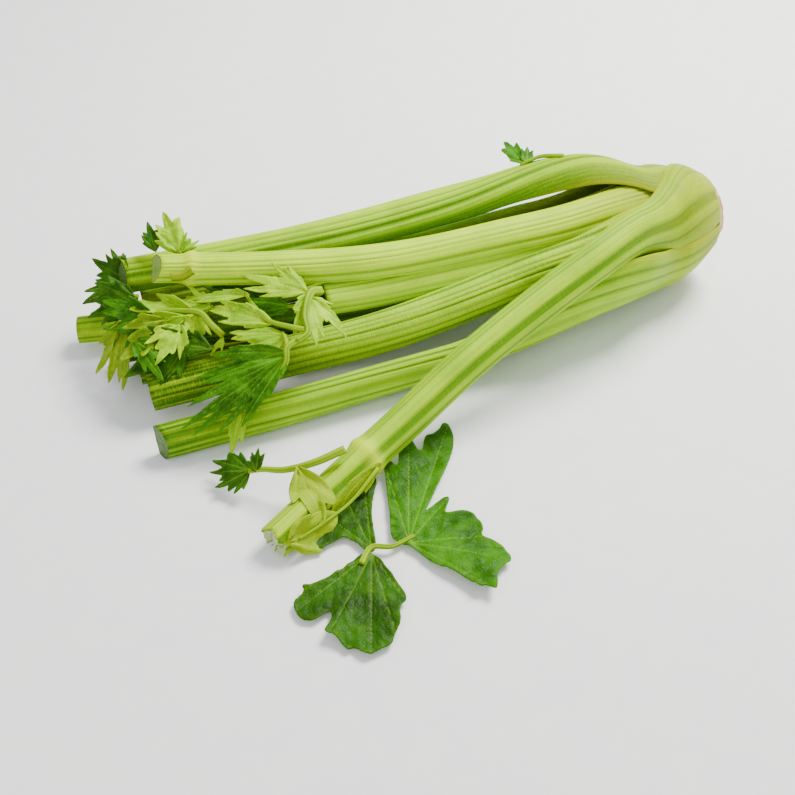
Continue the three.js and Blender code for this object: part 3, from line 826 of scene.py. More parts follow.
@dataclass
class Stem:
    """A leaf stem: a round, channelled tube that thins towards its tip.

    Attributes:
        path: The points that it passes through.
        radius: Its radius at its start.
        thin: The share of its radius that is left at its tip.
        skin: Its finish.
        rows: Faces along it.
        columns: Faces round it.
    """

    path: list[Point]
    radius: float = 1.6
    thin: float = 0.7
    skin: str = "stem"
    rows: int = 48
    columns: int = 20

    def surface(self, row: Array, column: Array) -> Surface:
        """Lays the tube and its rounded ends on the grid.

        Args:
            row: The row number of each corner.
            column: The column number of each corner.

        Returns:
            The closed tube.
        """
        caps = 4
        inner = self.rows - 2 * caps
        shares = np.concatenate([np.zeros(caps), np.linspace(0, 1, inner + 1), np.ones(caps)])
        domes = np.sin(np.linspace(0, 1, caps + 1) * np.pi / 2)[:-1]
        closing = np.concatenate([domes, np.ones(inner + 1), domes[::-1]])
        spine, tangent, length = smooth_path(self.path, shares)
        up = np.tile(np.array([0.0, -0.4, 0.9]), (len(shares), 1))
        up = unit(up - (up * tangent).sum(1, keepdims=True) * tangent)
        side = np.cross(tangent, up)
        radius = self.radius * mix(1.12, self.thin, shares) * closing
        turn = column / self.columns * 2 * np.pi
        channel = 1 - 0.22 * np.exp(-(((turn - np.pi / 2) / 0.5) ** 2)) + 0.05 * np.cos(5 * turn)
        r = radius[row] * channel
        positions = (spine[row] + side[row] * (r * np.cos(turn))[:, None]
                     + up[row] * (r * np.sin(turn))[:, None])
        gone = shares[row] * length * METRE
        return Surface(
            positions=positions,
            uv=np.stack([turn * self.radius * METRE, gone], 1),
            marks={"along": gone, "rib": 0.5 + 0.4 * np.cos(5 * turn), "rim": 0 * turn,
                   "inner": 0 * turn},
        )

    def build(self, name: str, palette: Palette) -> bpy.types.Object:
        """Builds and dresses the stem.

        Args:
            name: The object's name.
            palette: The finishes.

        Returns:
            The stem.
        """
        stem = shaped_grid(name, self.rows, self.columns, self.surface)
        stem.data.materials.append(palette.skins[self.skin])
        return stem


@dataclass
class Stalk:
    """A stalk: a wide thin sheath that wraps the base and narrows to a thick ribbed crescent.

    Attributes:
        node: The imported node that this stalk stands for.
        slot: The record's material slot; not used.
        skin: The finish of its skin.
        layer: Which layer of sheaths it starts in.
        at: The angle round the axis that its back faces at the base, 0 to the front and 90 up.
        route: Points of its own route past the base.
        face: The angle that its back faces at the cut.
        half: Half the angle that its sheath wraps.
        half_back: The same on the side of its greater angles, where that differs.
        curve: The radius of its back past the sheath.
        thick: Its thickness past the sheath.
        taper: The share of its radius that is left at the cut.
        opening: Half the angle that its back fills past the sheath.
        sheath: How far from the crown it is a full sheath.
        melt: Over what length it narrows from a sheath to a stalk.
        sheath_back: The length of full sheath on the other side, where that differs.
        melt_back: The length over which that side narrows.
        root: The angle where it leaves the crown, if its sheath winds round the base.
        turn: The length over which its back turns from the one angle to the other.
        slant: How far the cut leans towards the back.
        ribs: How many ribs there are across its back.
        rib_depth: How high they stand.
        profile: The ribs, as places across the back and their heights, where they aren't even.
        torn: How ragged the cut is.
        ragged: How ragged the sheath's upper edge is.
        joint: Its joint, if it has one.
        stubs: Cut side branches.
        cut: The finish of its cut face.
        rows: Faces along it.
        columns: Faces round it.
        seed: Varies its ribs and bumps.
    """

    node: str
    slot: str
    skin: str
    layer: int
    at: float
    route: list[Point]
    face: float | None = None
    half: float = 50.0
    half_back: float | None = None
    curve: float = 9.5
    thick: float = 9.0
    taper: float = 0.85
    opening: float = 78.0
    sheath: float = 30.0
    melt: float = 70.0
    sheath_back: float | None = None
    melt_back: float | None = None
    root: float | None = None
    turn: float | None = None
    slant: float = 0.0
    ribs: float = 9.0
    rib_depth: float = 0.9
    profile: list[Flat] | None = None
    torn: float = 0.0
    ragged: float = 0.0
    joint: Node | None = None
    stubs: list[Stem] = field(default_factory=list)
    cut: str = "fresh"
    rows: int = 130
    columns: int = 120
    seed: float = 0.0

    WRAP_END = 45.0
    WRAP_MELT = 60.0
    TWIST_START = 50.0
    FLARE = 1.12
    BUNCH = 1.45
    ROOT_FOLDS = (0.0, 0.5, 0.9)
    TIP_FOLDS = (0.97, 0.86, 0.72, 0.56, 0.38, 0.2, 0.0)

    def spine_points(self) -> list[Point]:
        """Leads its middle line out of the crown and along its route.

        Returns:
            The points, from the crown to the cut.
        """
        root = self.at if self.root is None else self.root
        points = []
        for i in range(4):
            x = mix(LAYER_STARTS[self.layer], 2.0, i / 3)
            radius = LAYER_RADII[self.layer] * bulb_factor(x)
            turn = math.radians(mix(root, self.at, i / 3))
            points.append((x, -radius * math.cos(turn), AXIS_HEIGHT + radius * math.sin(turn)))
        return points + self.route

    def section(self, shares: Array) -> Section:
        """Turns and narrows its section along its length.

        Args:
            shares: Places along it, from 0 at the crown to 1 at the cut.

        Returns:
            The sections at those places.
        """
        spine, tangent, length = smooth_path(self.spine_points(), shares)
        gone = shares * length
        freed = ramp((gone - self.WRAP_END) / self.WRAP_MELT)[:, None]
        tangent = unit(mix(np.array([-1.0, 0, 0]), tangent, freed))
        face = self.at if self.face is None else self.face
        root = self.at if self.root is None else self.root
        turn = length - self.TWIST_START if self.turn is None else self.turn
        wrapped = mix(root, self.at, np.minimum(1, gone / SHEATH_LENGTH))
        angle = np.radians(mix(wrapped, face, ramp((gone - self.TWIST_START) / turn)))
        out = np.stack([0 * angle, -np.cos(angle), np.sin(angle)], 1)
        out = unit(out - (out * tangent).sum(1, keepdims=True) * tangent)
        back = self.sheath if self.sheath_back is None else self.sheath_back
        melt_back = self.melt if self.melt_back is None else self.melt_back
        turned = ramp((gone - self.sheath) / self.melt)
        turned_back = ramp((gone - back) / melt_back)
        stalk_radius = self.curve * mix(self.FLARE, self.taper, shares)
        sheath_radius = np.minimum(np.hypot(spine[:, 1], spine[:, 2] - AXIS_HEIGHT),
                                   LAYER_RADII[self.layer])
        radius = mix(sheath_radius, stalk_radius, turned)
        thickness = mix(SHEATH_THICKNESS * np.minimum(1, 0.7 + gone / 130), self.thick, turned)
        halves = (self.half, self.half if self.half_back is None else self.half_back)
        stalk_reach = stalk_radius * math.radians(self.opening)
        reach = np.stack([mix(sheath_radius * math.radians(half), stalk_reach, t) / radius
                          for half, t in zip(halves, (turned, turned_back))])
        return Section(spine, tangent, out, np.cross(tangent, out), gone, length, turned, radius,
                       thickness, reach)

    def relief(self, u: Array, gone: Array) -> Array:
        """The height of the ribs, from 0 in a groove to 1 on a ridge.

        Args:
            u: Place across the back, from -1 to 1.
            gone: Distance along the stalk.

        Returns:
            The height at each place.
        """
        wander = 0.016 * np.sin(gone / 41 + self.seed) + 0.010 * np.sin(gone / 17 + 2 * self.seed)
        if self.profile:
            places, heights = zip(*self.profile)
            height = np.interp(u + wander, places, heights)
            return np.clip(height + 0.07 * np.sin(61 * u + self.seed), 0, 1)
        uneven = 0.05 * np.sin(5 * u + self.seed) + 0.03 * np.sin(11 * u + 3 * self.seed)
        phase = np.pi * self.ribs * (u + uneven + wander) + self.seed
        number = np.floor(phase / (2 * np.pi))
        strength = 0.72 + 0.28 * np.sin(2.4 * number + self.seed)
        groove = (0.5 - 0.5 * np.cos(phase)) ** 3.5
        fine = 0.5 + 0.5 * np.cos(3 * phase + 1.1)
        return np.clip(0.94 - 0.9 * strength * groove - 0.16 * fine * (1 - groove), 0, 1)

    def courses(self) -> tuple[Array, Array, Array]:
        """Spreads the grid's rows over its length and its two end faces.

        Returns:
            Each row's share of the length, how far it is folded open, and whether it is on an end.
        """
        root, tip = np.array(self.ROOT_FOLDS), np.array(self.TIP_FOLDS)
        share = np.linspace(0, 1, self.rows - len(root) - len(tip) + 1)
        share = mix(share, share * share, 0.3)
        shares = np.concatenate([0 * root, share, 0 * tip + 1])
        folds = np.concatenate([root, 0 * share + 1, tip])
        at_end = np.concatenate([0 * root + 1, 0 * share, 0 * tip + 1])
        at_end[len(root) + len(share) - 1] = 1
        return shares, folds, at_end

    def surface(self, row: Array, column: Array) -> Surface:
        """Lays the skin and both end faces on the grid.

        Args:
            row: The row number of each corner.
            column: The column number of each corner.

        Returns:
            The closed stalk.
        """
        shares, folds, at_end = self.courses()
        cut = self.section(shares)
        gone, turned, fold, bend = cut.gone[row], cut.turned[row], folds[row], cut.radius[row]
        thickness, reach = cut.thickness[row], cut.reach[:, row]
        swell = 0 * gone
        if self.joint:
            past = gone - (cut.length - self.joint.before_end)
            swell = self.joint.swell * np.exp(-((past / self.joint.width) ** 2))
            kept = mix(1.0, self.joint.beyond, ramp(past / 5))
            thickness, reach = thickness * mix(1, kept, 0.5), reach * kept
        half_columns = self.columns // 2
        around = np.where(column <= half_columns, column, self.columns - column) / half_columns
        u = np.sin(mix(-1, 1, around) * self.BUNCH) / math.sin(self.BUNCH)
        rim = np.abs(u)
        outer = column <= half_columns
        inside_edge = (column % half_columns) != 0
        height = self.relief(u, gone)
        body = inside_edge * thickness / 2 * (1 - 0.5 * rim**2.2) * np.sqrt(np.maximum(1 - rim**10, 0))
        window = inside_edge * np.sqrt(np.maximum(1 - rim**6, 0))
        frill = np.sin(gone / 3.1) * np.sin(gone / 1.3) + 0.6 * np.sin(gone / 7.7 + 1)
        a = u * np.where(u < 0, reach[0], reach[1] * (1 - self.ragged * (1 - turned) * (frill + 1.2)))
        near_end = ramp((gone - cut.length + CLOSING_LENGTH) / CLOSING_LENGTH)
        skin = (bend + body + inside_edge * swell
                + window * self.rib_depth * mix(0.5, 1.0, turned) * (height - 0.6))
        hollow = bend - body - 0.4 * inside_edge * swell - 0.18 * window * (height - 0.5)
        chord = bend * np.cos(np.where(u < 0, reach[0], reach[1])) / np.cos(a) - 0.3
        hollow = mix(hollow, np.minimum(hollow, chord), near_end * (1 - rim**8))
        middle = (skin + hollow) / 2
        r = middle + (np.where(outer, skin, hollow) - middle) * fold
        rise = r * np.cos(a) - bend
        jag = self.torn * np.sin(9 * u + 2.3 * self.seed) * (0.6 + 0.4 * np.sin(23 * u))
        tip = (row > self.rows // 2) * (1 - fold)
        push = near_end * (jag - self.slant * rise) - 0.9 * tip * (1 - tip) * (1 + jag)
        positions = (cut.spine[row] + cut.out[row] * rise[:, None]
                     + cut.side[row] * (r * np.sin(a))[:, None] + cut.tangent[row] * push[:, None])
        bumps = 0.35 * turned * ripple(positions, 0.045, self.seed)
        positions = positions + cut.out[row] * bumps[:, None]
        positions[:, 2] = np.maximum(positions[:, 2], FLOOR_GAP)
        return Surface(
            positions=positions,
            uv=np.stack([a * bend * METRE, gone * METRE], 1),
            marks={
                "along": gone * METRE,
                "rib": np.where(outer, height, 0.5),
                "rim": rim,
                "inner": np.where(outer, 0.0, 1.0),
                "collar": np.clip(swell / 1.2, 0, 1),
                "depth": fold,
                "across": np.where(outer, u, -u),
            },
            slots=at_end[row],
        )

    def build(self, palette: Palette) -> bpy.types.Object:
        """Builds and dresses the stalk, and puts it in its node's place.

        Args:
            palette: The finishes.

        Returns:
            The stalk.
        """
        stalk = shaped_grid(f"celery_{self.node}", self.rows, self.columns, self.surface)
        stalk.data.materials.append(palette.skins[self.skin])
        stalk.data.materials.append(palette.cuts[self.cut])
        stubs = [stub.build(f"{self.node}_stub_{i}", palette) for i, stub in enumerate(self.stubs)]
        stalk = join([stalk, *stubs], stalk.name)
        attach(stalk, "root")
        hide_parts(self.node)
        return stalk


class Habit(Enum):
    """How a leaflet grows: its teeth to a lobe, their depth, and how much it blisters and waves."""

    BROAD = (2.2, 0.34, 0.9, 0.5)
    FEATHERY = (2.6, 0.42, 0.8, 0.9)
    CRINKLED = (2.2, 0.34, 1.2, 2.0)
    FOLDED = (1.0, 0.10, 0.5, 1.4)


class Rounds:
    """The round shapes of the stalks past their sheaths, which the leaves lie over."""

    def __init__(self, stalks: list[Stalk]) -> None:
        """Samples each stalk along its length.

        Args:
            stalks: The stalks.
        """
        rows = []
        for stalk in stalks:
            cut = stalk.section(np.linspace(0, 1, ROUNDS))
            spacing = np.full(ROUNDS, cut.length / ROUNDS * 0.7)
            radius = cut.radius + cut.thickness / 2
            centre = cut.spine - cut.out * cut.radius[:, None]
            kept = cut.radius < MAX_ROUND
            rows.append(np.column_stack([centre, cut.tangent, radius, spacing])[kept])
        self.rows = np.vstack(rows)

    def drape(self, points: Array) -> Array:
        """Moves the points of a leaf out of the stalks that it would sink into.

        Args:
            points: Places on the leaf.

        Returns:
            The moved places.
        """
        low, high = points.min(0) - DRAPE_REACH, points.max(0) + DRAPE_REACH
        near = ((self.rows[:, :3] > low) & (self.rows[:, :3] < high)).all(1)
        points = points.copy()
        for row in self.rows[near]:
            centre, tangent, radius, spacing = row[:3], row[3:6], row[6], row[7]
            offset = points - centre
            past = offset @ tangent
            offset = offset - past[:, None] * tangent
            distance = np.linalg.norm(offset, axis=1)
            lift = radius + DRAPE_GAP - distance
            inside = (np.abs(past) < spacing) & (lift > 0) & (lift < DRAPE_LIMIT)
            push = (lift / np.maximum(distance, 1e-6))[:, None] * offset
            points[inside] += push[inside]
        return points


@dataclass
class Leaflet:
    """A thin lobed blade that lies from its base to its tip and faces one way.

    Attributes:
        base: Where its stem joins it.
        tip: The end of its middle lobe.
        facing: The way its upper face looks.
        lobes: Each lobe's angle from the midrib and its reach as a share of the length.
        spread: Half the angle that a lobe fills.
        outline: Its edge round the base, in its own plane, where lobes don't describe it.
        vein_root: Where its main veins start, in its own plane.
        vein_tips: Where they end, for a leaflet with its own outline.
        cell: The size of the faces that it is made of.
        habit: How it is toothed, blistered and waved.
        crease: How steeply it rises to each side of its midrib.
        droop: How far its tip hangs, as a share of its length.
        wave: How far its edge waves, as a share of its length.
        seed: Varies its unevenness.
        blade: Its finish.
        draped: Whether it lies over the stalks.
    """

    base: Point
    tip: Point
    facing: Point = (0.0, 0.0, 1.0)
    lobes: tuple[Flat, ...] = ()
    spread: float = 32.0
    habit: Habit = Habit.BROAD
    crease: float = 0.12
    droop: float = 0.12
    wave: float = 0.05
    outline: list[Flat] | None = None
    vein_root: Flat = (0.0, 0.0)
    vein_tips: list[Flat] = field(default_factory=list)
    cell: float = 0.6
    seed: float = 0.0
    blade: str = "green"
    draped: bool = True

    WAVES = 5.0
    WIDEN = 1.25
    WEB = 0.62
    STALK_REACH = 0.16
    EDGE_STEPS = 320

    def length(self) -> float:
        """The distance from base to tip."""
        return float(np.linalg.norm(np.subtract(self.tip, self.base)))

    def edge(self) -> Array:
        """Draws the blade's toothed edge, or softens its own outline.

        Returns:
            The outline's corners in order, in its own plane.
        """
        if self.outline:
            line = np.array(self.outline, float)
            ahead, behind = np.roll(line, -1, axis=0), np.roll(line, 1, axis=0)
            softened = 0.8 * line + 0.1 * (ahead + behind)
            corners = [mix(line, behind, 0.28), softened, mix(line, ahead, 0.28)]
            return np.stack(corners, 1).reshape(-1, 2)
        teeth, tooth_depth = self.habit.value[:2]
        teeth = max(1.0, teeth * self.spread / 32)
        spread = self.WIDEN * self.spread
        angles = [angle for angle, _ in self.lobes]
        angle = np.linspace(min(angles) - 0.9 * spread, max(angles) + 0.9 * spread,
                            self.EDGE_STEPS)
        reach = np.full_like(angle, self.STALK_REACH)
        for number, (lobe_angle, lobe_reach) in enumerate(self.lobes):
            off = (angle - lobe_angle) / spread
            saw = np.abs((off * teeth + 0.06 * np.sin(4 * off + number + self.seed)) % 1.0 - 0.5) * 2
            tooth = 1 + tooth_depth * (saw**1.2 - 0.75) * np.clip(1.5 - np.abs(off), 0, 1)
            swell = np.cos(np.minimum(1, np.abs(off)) * np.pi / 2) ** 0.55
            reach = np.maximum(reach, lobe_reach * swell * tooth)
        if len(self.lobes) > 1:
            order = sorted(self.lobes)
            web = np.interp(angle, *zip(*order), left=0, right=0)
            reach = np.maximum(reach, self.WEB * web * (1 + 0.1 * np.sin(angle * 0.9 + self.seed)))
        radius = self.length() * reach
        line = np.stack([radius * np.cos(np.radians(angle)), radius * np.sin(np.radians(angle))], 1)
        return np.vstack([[-0.01 * self.length(), 0.0], line])

    def veins(self) -> list[tuple[Array, Array, float]]:
        """Draws the main veins and their branches.

        Returns:
            Each vein's two ends and half width.
        """
        root = np.array(self.vein_root, float)
        tips = [np.array(t, float) for t in self.vein_tips]
        if not tips:
            for angle, reach in self.lobes:
                turn, far = math.radians(angle), reach * self.length() * 0.96
                tips.append(np.array([far * math.cos(turn), far * math.sin(turn)]))
        lines = []
        for number, tip in enumerate(tips):
            main = tip - root
            long = float(np.linalg.norm(main))
            lines.append((root, tip, 0.5))
            heading = math.atan2(main[1], main[0])
            branches = max(2, int(long / 6))
            for step in range(branches):
                start = root + main * (0.22 + 0.72 * step / branches)
                left = long * 0.34 * (1 - 0.6 * step / branches)
                for way in (-1, 1):
                    turn = heading + way * math.radians(38 + 5 * math.sin(number + step))
                    end = start + left * np.array([math.cos(turn), math.sin(turn)])
                    lines.append((start, end, 0.3))
        return lines

    def vein_field(self, flat: Array, widen: float) -> Array:
        """How strongly each place lies on a vein, from 0 to 1.

        Args:
            flat: Places in the leaflet's own plane.
            widen: How much wider than its width each vein is drawn.

        Returns:
            The strength at each place.
        """
        best = np.zeros(len(flat))
        for start, end, width in self.veins():
            run = end - start
            share = np.clip(((flat - start) @ run) / (run @ run), 0, 1)
            gap = np.linalg.norm(flat - start - share[:, None] * run, axis=1)
            wide = width * widen * (1.15 - 0.75 * share)
            strength = 1.0 if width > 0.4 else 0.55
            best = np.maximum(best, strength * np.exp(-((gap / wide) ** 2)))
        return best

    def relief(self, flat: Array, rim: Array) -> Array:
        """The height of the blade over its own plane.

        Args:
            flat: Places in the leaflet's own plane.
            rim: How near each place is to the edge, from 0 inside to 1 on it.

        Returns:
            The height at each place.
        """
        length = self.length()
        _, _, puff, flutter = self.habit.value
        x, y = flat[:, 0], flat[:, 1]
        reach = np.hypot(x, y) / length
        turn = np.arctan2(y, x + 0.02 * length)
        height = (self.crease * np.sqrt(y**2 + 0.25) - self.droop * length * (x / length) ** 2
                  + self.wave * length * reach**2 * np.sin(self.WAVES * turn + 0.7))
        small = min(1.0, length / 30)
        height = height + puff * small * (1 - self.vein_field(flat, 4.0)) * (
            0.6 + 0.6 * ripple(flat, 0.55, self.seed))
        height = height + flutter * small * ripple(flat, 0.22, self.seed + 2) * (0.3 + reach)
        edge = flutter * small * rim * np.sin(turn * (9 + self.seed % 4) + self.seed)
        return height + edge

    def surface(self, flat: Array, rounds: Rounds) -> Surface:
        """Lays the blade on its curved sheet, over the stalks.

        Args:
            flat: Places in the leaflet's own plane.
            rounds: The stalks that it may lie over.

        Returns:
            The curved sheet.
        """
        along = unit(np.subtract(self.tip, self.base)[None])[0]
        up = np.array(self.facing, float)
        up = unit((up - (up @ along) * along)[None])[0]
        side = np.cross(up, along)
        gap = edge_distance(flat, self.edge())[0]
        rim = np.exp(-((gap / (0.09 * self.length())) ** 2))
        positions = (np.array(self.base) + along * flat[:, :1] + side * flat[:, 1:]
                     + up * self.relief(flat, rim)[:, None])
        if self.draped:
            positions = rounds.drape(positions)
        positions[:, 2] = np.maximum(positions[:, 2], BLADE_FLOOR_GAP)
        return Surface(
            positions=positions,
            uv=flat * METRE,
            marks={"vein": self.vein_field(flat, 1.0), "margin": np.exp(-((gap / 0.9) ** 2))},
        )

    def build(self, name: str, palette: Palette, rounds: Rounds) -> bpy.types.Object:
        """Builds the blade with its two faces and its thickness.

        Args:
            name: The object's name.
            palette: The finishes.
            rounds: The stalks that it may lie over.

        Returns:
            The leaflet.
        """
        blade = trimmed_grid(name, self.edge(), self.cell, lambda flat: self.surface(flat, rounds))
        self.turn_up(blade)
        blade.data.materials.append(palette.blades[self.blade])
        blade.data.materials.append(palette.blades[f"{self.blade}_under"])
        solid = blade.modifiers.new("thickness", "SOLIDIFY")
        solid.thickness = BLADE_THICKNESS * METRE
        solid.offset = -1.0
        solid.material_offset = 1
        bpy.context.view_layer.objects.active = blade
        bpy.ops.object.modifier_apply(modifier=solid.name)
        return blade

    def turn_up(self, blade: bpy.types.Object) -> None:
        """Turns the blade's faces the way that it faces.

        Args:
            blade: The blade, which is the active object.
        """
        normals = read(blade.data.polygons, "normal", 3)
        areas = read(blade.data.polygons, "area", 1).ravel()
        if ((normals @ np.array(self.facing)) * areas).sum() < 0:
            bpy.ops.object.mode_set(mode="EDIT")
            bpy.ops.mesh.select_all(action="SELECT")
            bpy.ops.mesh.flip_normals()
            bpy.ops.object.mode_set(mode="OBJECT")


@dataclass
class Spray:
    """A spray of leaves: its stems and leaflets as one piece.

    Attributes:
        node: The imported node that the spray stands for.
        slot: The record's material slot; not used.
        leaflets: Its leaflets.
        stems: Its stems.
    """

    node: str
    slot: str
    leaflets: list[Leaflet]
    stems: list[Stem] = field(default_factory=list)

    def build(self, palette: Palette, rounds: Rounds) -> bpy.types.Object:
        """Builds the stems and leaflets, joins them, and puts them in their node's place.

        Args:
            palette: The finishes.
            rounds: The stalks that the leaflets may lie over.

        Returns:
            The spray.
        """
        parts = [leaf.build(f"{self.node}_blade_{i}", palette, rounds)
                 for i, leaf in enumerate(self.leaflets)]
        parts += [stem.build(f"{self.node}_stem_{i}", palette) for i, stem in enumerate(self.stems)]
        spray = join(parts, f"celery_{self.node}")
        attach(spray, "root")
        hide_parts(self.node)
        return spray


@dataclass
class Crown:
    """The crown: a turned, stepped cone inside the sheaths that ends in the cut root."""

    sides: int = 96

    def profile(self) -> list[Flat]:
        """Steps in under each layer of sheaths.

        Returns:
            Radius and place along X of each ring, from the root's face inwards.
        """
        steps = [(4.0, ROOT_FACE_X - 0.4), (9.0, ROOT_FACE_X - 0.1), (13.5, ROOT_FACE_X - 0.6),
                 (ROOT_FACE_RADIUS, ROOT_FACE_X), (ROOT_FACE_RADIUS + 2.6, ROOT_FACE_X - 1.2),
                 (ROOT_FACE_RADIUS + 4.5, ROOT_FACE_X - 3.4)]
        for layer, start in enumerate(LAYER_STARTS):
            taper = bulb_factor(start)
            outside = LAYER_RADII[layer] + SHEATH_THICKNESS / 2
            inside = LAYER_RADII[layer] - SHEATH_THICKNESS / 2 - 0.6
            if layer == 0:
                steps.append((outside * taper - 1.5, start + 0.3))
            steps.append((inside * taper, start + 0.3))
            steps.append((inside * taper - 0.8, start - 3.0))
        return steps

    def build(self, palette: Palette) -> bpy.types.Object:
        """Extrudes the profile ring by ring, closes it, and roughens the root.

        Args:
            palette: The finishes.

        Returns:
            The crown.
        """
        steps = self.profile()
        bpy.ops.object.select_all(action="DESELECT")
        radius, x = steps[0]
        bpy.ops.mesh.primitive_circle_add(
            vertices=self.sides, radius=radius * METRE, fill_type="NGON",
            location=(x * METRE, 0.0, AXIS_HEIGHT * METRE), rotation=(0.0, math.pi / 2, 0.0))
        crown = bpy.context.object
        crown.name = crown.data.name = "celery_crown"
        bpy.ops.object.transform_apply(location=True, rotation=True, scale=True)
        bpy.ops.object.mode_set(mode="EDIT")
        bpy.ops.mesh.select_all(action="SELECT")
        for (old, old_x), (new, new_x) in zip(steps, steps[1:]):
            bpy.ops.mesh.extrude_edges_move(
                TRANSFORM_OT_translate={"value": ((new_x - old_x) * METRE, 0.0, 0.0)})
            bpy.ops.transform.resize(value=(1.0, new / old, new / old),
                                     center_override=(new_x * METRE, 0.0, AXIS_HEIGHT * METRE))
        bpy.ops.mesh.edge_face_add()
        bpy.ops.mesh.select_all(action="SELECT")
        bpy.ops.mesh.remove_doubles(threshold=1e-6)
        bpy.ops.mesh.normals_make_consistent(inside=False)
        bpy.ops.object.mode_set(mode="OBJECT")
        bpy.ops.object.shade_smooth_by_angle(angle=math.radians(50))
        self.roughen(crown)
        crown.data.materials.append(palette.root)
        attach(crown, "root")
        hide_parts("crown")
        return crown

    def roughen(self, crown: bpy.types.Object) -> None:
        """Makes the root's face uneven and marks each corner's distance from the axis.

        Args:
            crown: The turned crown.
        """
        place = read(crown.data.vertices, "co", 3) / METRE
        reach = np.hypot(place[:, 1], place[:, 2] - AXIS_HEIGHT)
        near = ramp((place[:, 0] - 42) / 4)
        place[:, 0] -= 0.8 * near * np.abs(ripple(place, 0.5, 3.0))
        out = unit(place * [0, 1, 1] - [0, 0, AXIS_HEIGHT])
        place += out * (0.5 * near * ripple(place, 0.45, 5.0))[:, None]
        crown.data.vertices.foreach_set("co", (place * METRE).ravel())
        mark = crown.data.attributes.new("reach", "FLOAT", "POINT")
        mark.data.foreach_set("value", np.clip(reach / 30, 0, 1))
        crown.data.update()


@dataclass
class Studio:
    """The pale floor, the soft lights and the camera.

    Attributes:
        camera_at: The camera's place in millimetres.
        azimuth: The angle round Z that it looks from, in degrees.
        elevation: How far above the table it looks from, in degrees.
        view: How wide it sees, in degrees.
        aim: Where the lamps point, in metres.
        warm: The lamps' colour.
    """

    camera_at: Point = (-342.3, -504.1, 460.7)
    azimuth: float = -20.0
    elevation: float = 44.0
    view: float = 38.0
    aim: Point = (-0.14, -0.03, 0.03)
    warm: Point = (1.0, 0.98, 0.86)

    def build(self) -> None:
        """Lays the floor, hangs the lights and sets the camera."""
        self.floor()
        self.lights()
        self.camera()

    def floor(self) -> None:
        """A wide pale floor."""
        bpy.ops.object.select_all(action="DESELECT")
        bpy.ops.mesh.primitive_plane_add(size=8.0, location=(-0.15, 0.0, 0.0))
        floor = bpy.context.object
        floor.name = "floor"
        g = Graph("floor_paint")
        grain = g.noise(g.place(), 60.0, 2.0)
        tint = g.blend(g.span(grain, 0.3, 0.7), colour(0xF4F6FE), colour(0xF8FAFF))
        floor.data.materials.append(g.finish(tint, 0.85, grain, 0.00002, Specular_IOR_Level=0.2))

    def lights(self) -> None:
        """A large soft key from behind and above, a broad fill in front, and an even sky."""
        world = bpy.data.worlds.new("sky")
        bpy.context.scene.world = world
        world.use_nodes = True
        world.node_tree.nodes["Background"].inputs[0].default_value = (1.0, 1.0, 1.0, 1.0)
        world.node_tree.nodes["Background"].inputs[1].default_value = 0.80
        self.lamp("key", (0.45, 0.30, 0.95), 0.50, 30.0)
        self.lamp("fill", (-0.9, -0.9, 0.9), 1.1, 5.0)

    def lamp(self, name: str, place: Point, size: float, power: float) -> None:
        """Hangs a square soft lamp that looks at the head.

        Args:
            name: The lamp's name.
            place: Where it hangs, in metres.
            size: Its side.
            power: Its power in watts.
        """
        data = bpy.data.lights.new(name, "AREA")
        data.energy = power
        data.color = self.warm
        data.size = size
        lamp = bpy.data.objects.new(name, data)
        bpy.context.scene.collection.objects.link(lamp)
        lamp.location = place
        lamp.rotation_euler = (Vector(self.aim) - lamp.location).to_track_quat("-Z", "Y").to_euler()

    def camera(self) -> None:
        """A camera at the photograph's place and angle."""
        data = bpy.data.cameras.new("camera")
        data.sensor_width = 36.0
        data.lens = 18.0 / math.tan(math.radians(self.view) / 2)
        camera = bpy.data.objects.new("camera", data)
        bpy.context.scene.collection.objects.link(camera)
        camera.location = Vector(self.camera_at) * METRE
        turn, lift = math.radians(self.azimuth), math.radians(self.elevation)
        back = Vector((math.sin(turn) * math.cos(lift), -math.cos(turn) * math.cos(lift), math.sin(lift)))
        camera.rotation_euler = (-back).to_track_quat("-Z", "Y").to_euler()
        bpy.context.scene.camera = camera


SPLAYED_RIBS = [
    (-1, 0.4), (-0.85, 0.55), (-0.75, 0.7), (-0.62, 0.5), (-0.56, 0.2), (-0.5, 0.6), (-0.42, 0.8),
    (-0.34, 0.7), (-0.28, 0.15), (-0.2, 0.05), (-0.12, 0.1), (-0.06, 0.5), (0, 0.92), (0.33, 0.95),
    (0.37, 0.8), (0.41, 0.25), (0.46, 0.6), (0.52, 0.7), (0.58, 0.3), (0.62, 0.65), (0.68, 0.7),
    (0.76, 0.35), (0.8, 0.6), (0.86, 0.6), (1, 0.5)]
# Rib heights across the far stalk's back; the low heights along its lower side also darken its colour
# there as painted shade.
FAR_RIBS = [
    (-1, 0.2), (-0.7, 0.25), (-0.56, 0.3), (-0.45, 0.8), (-0.3, 0.8), (-0.22, 0.1), (-0.16, 0.1),
    (-0.08, 0.75), (-0.02, 0.7), (0.03, 0.1), (0.08, 0.7), (0.2, 0.8), (0.26, 0.25), (0.31, 0.9),
    (0.6, 0.95), (0.8, 0.8), (1, 0.6)]


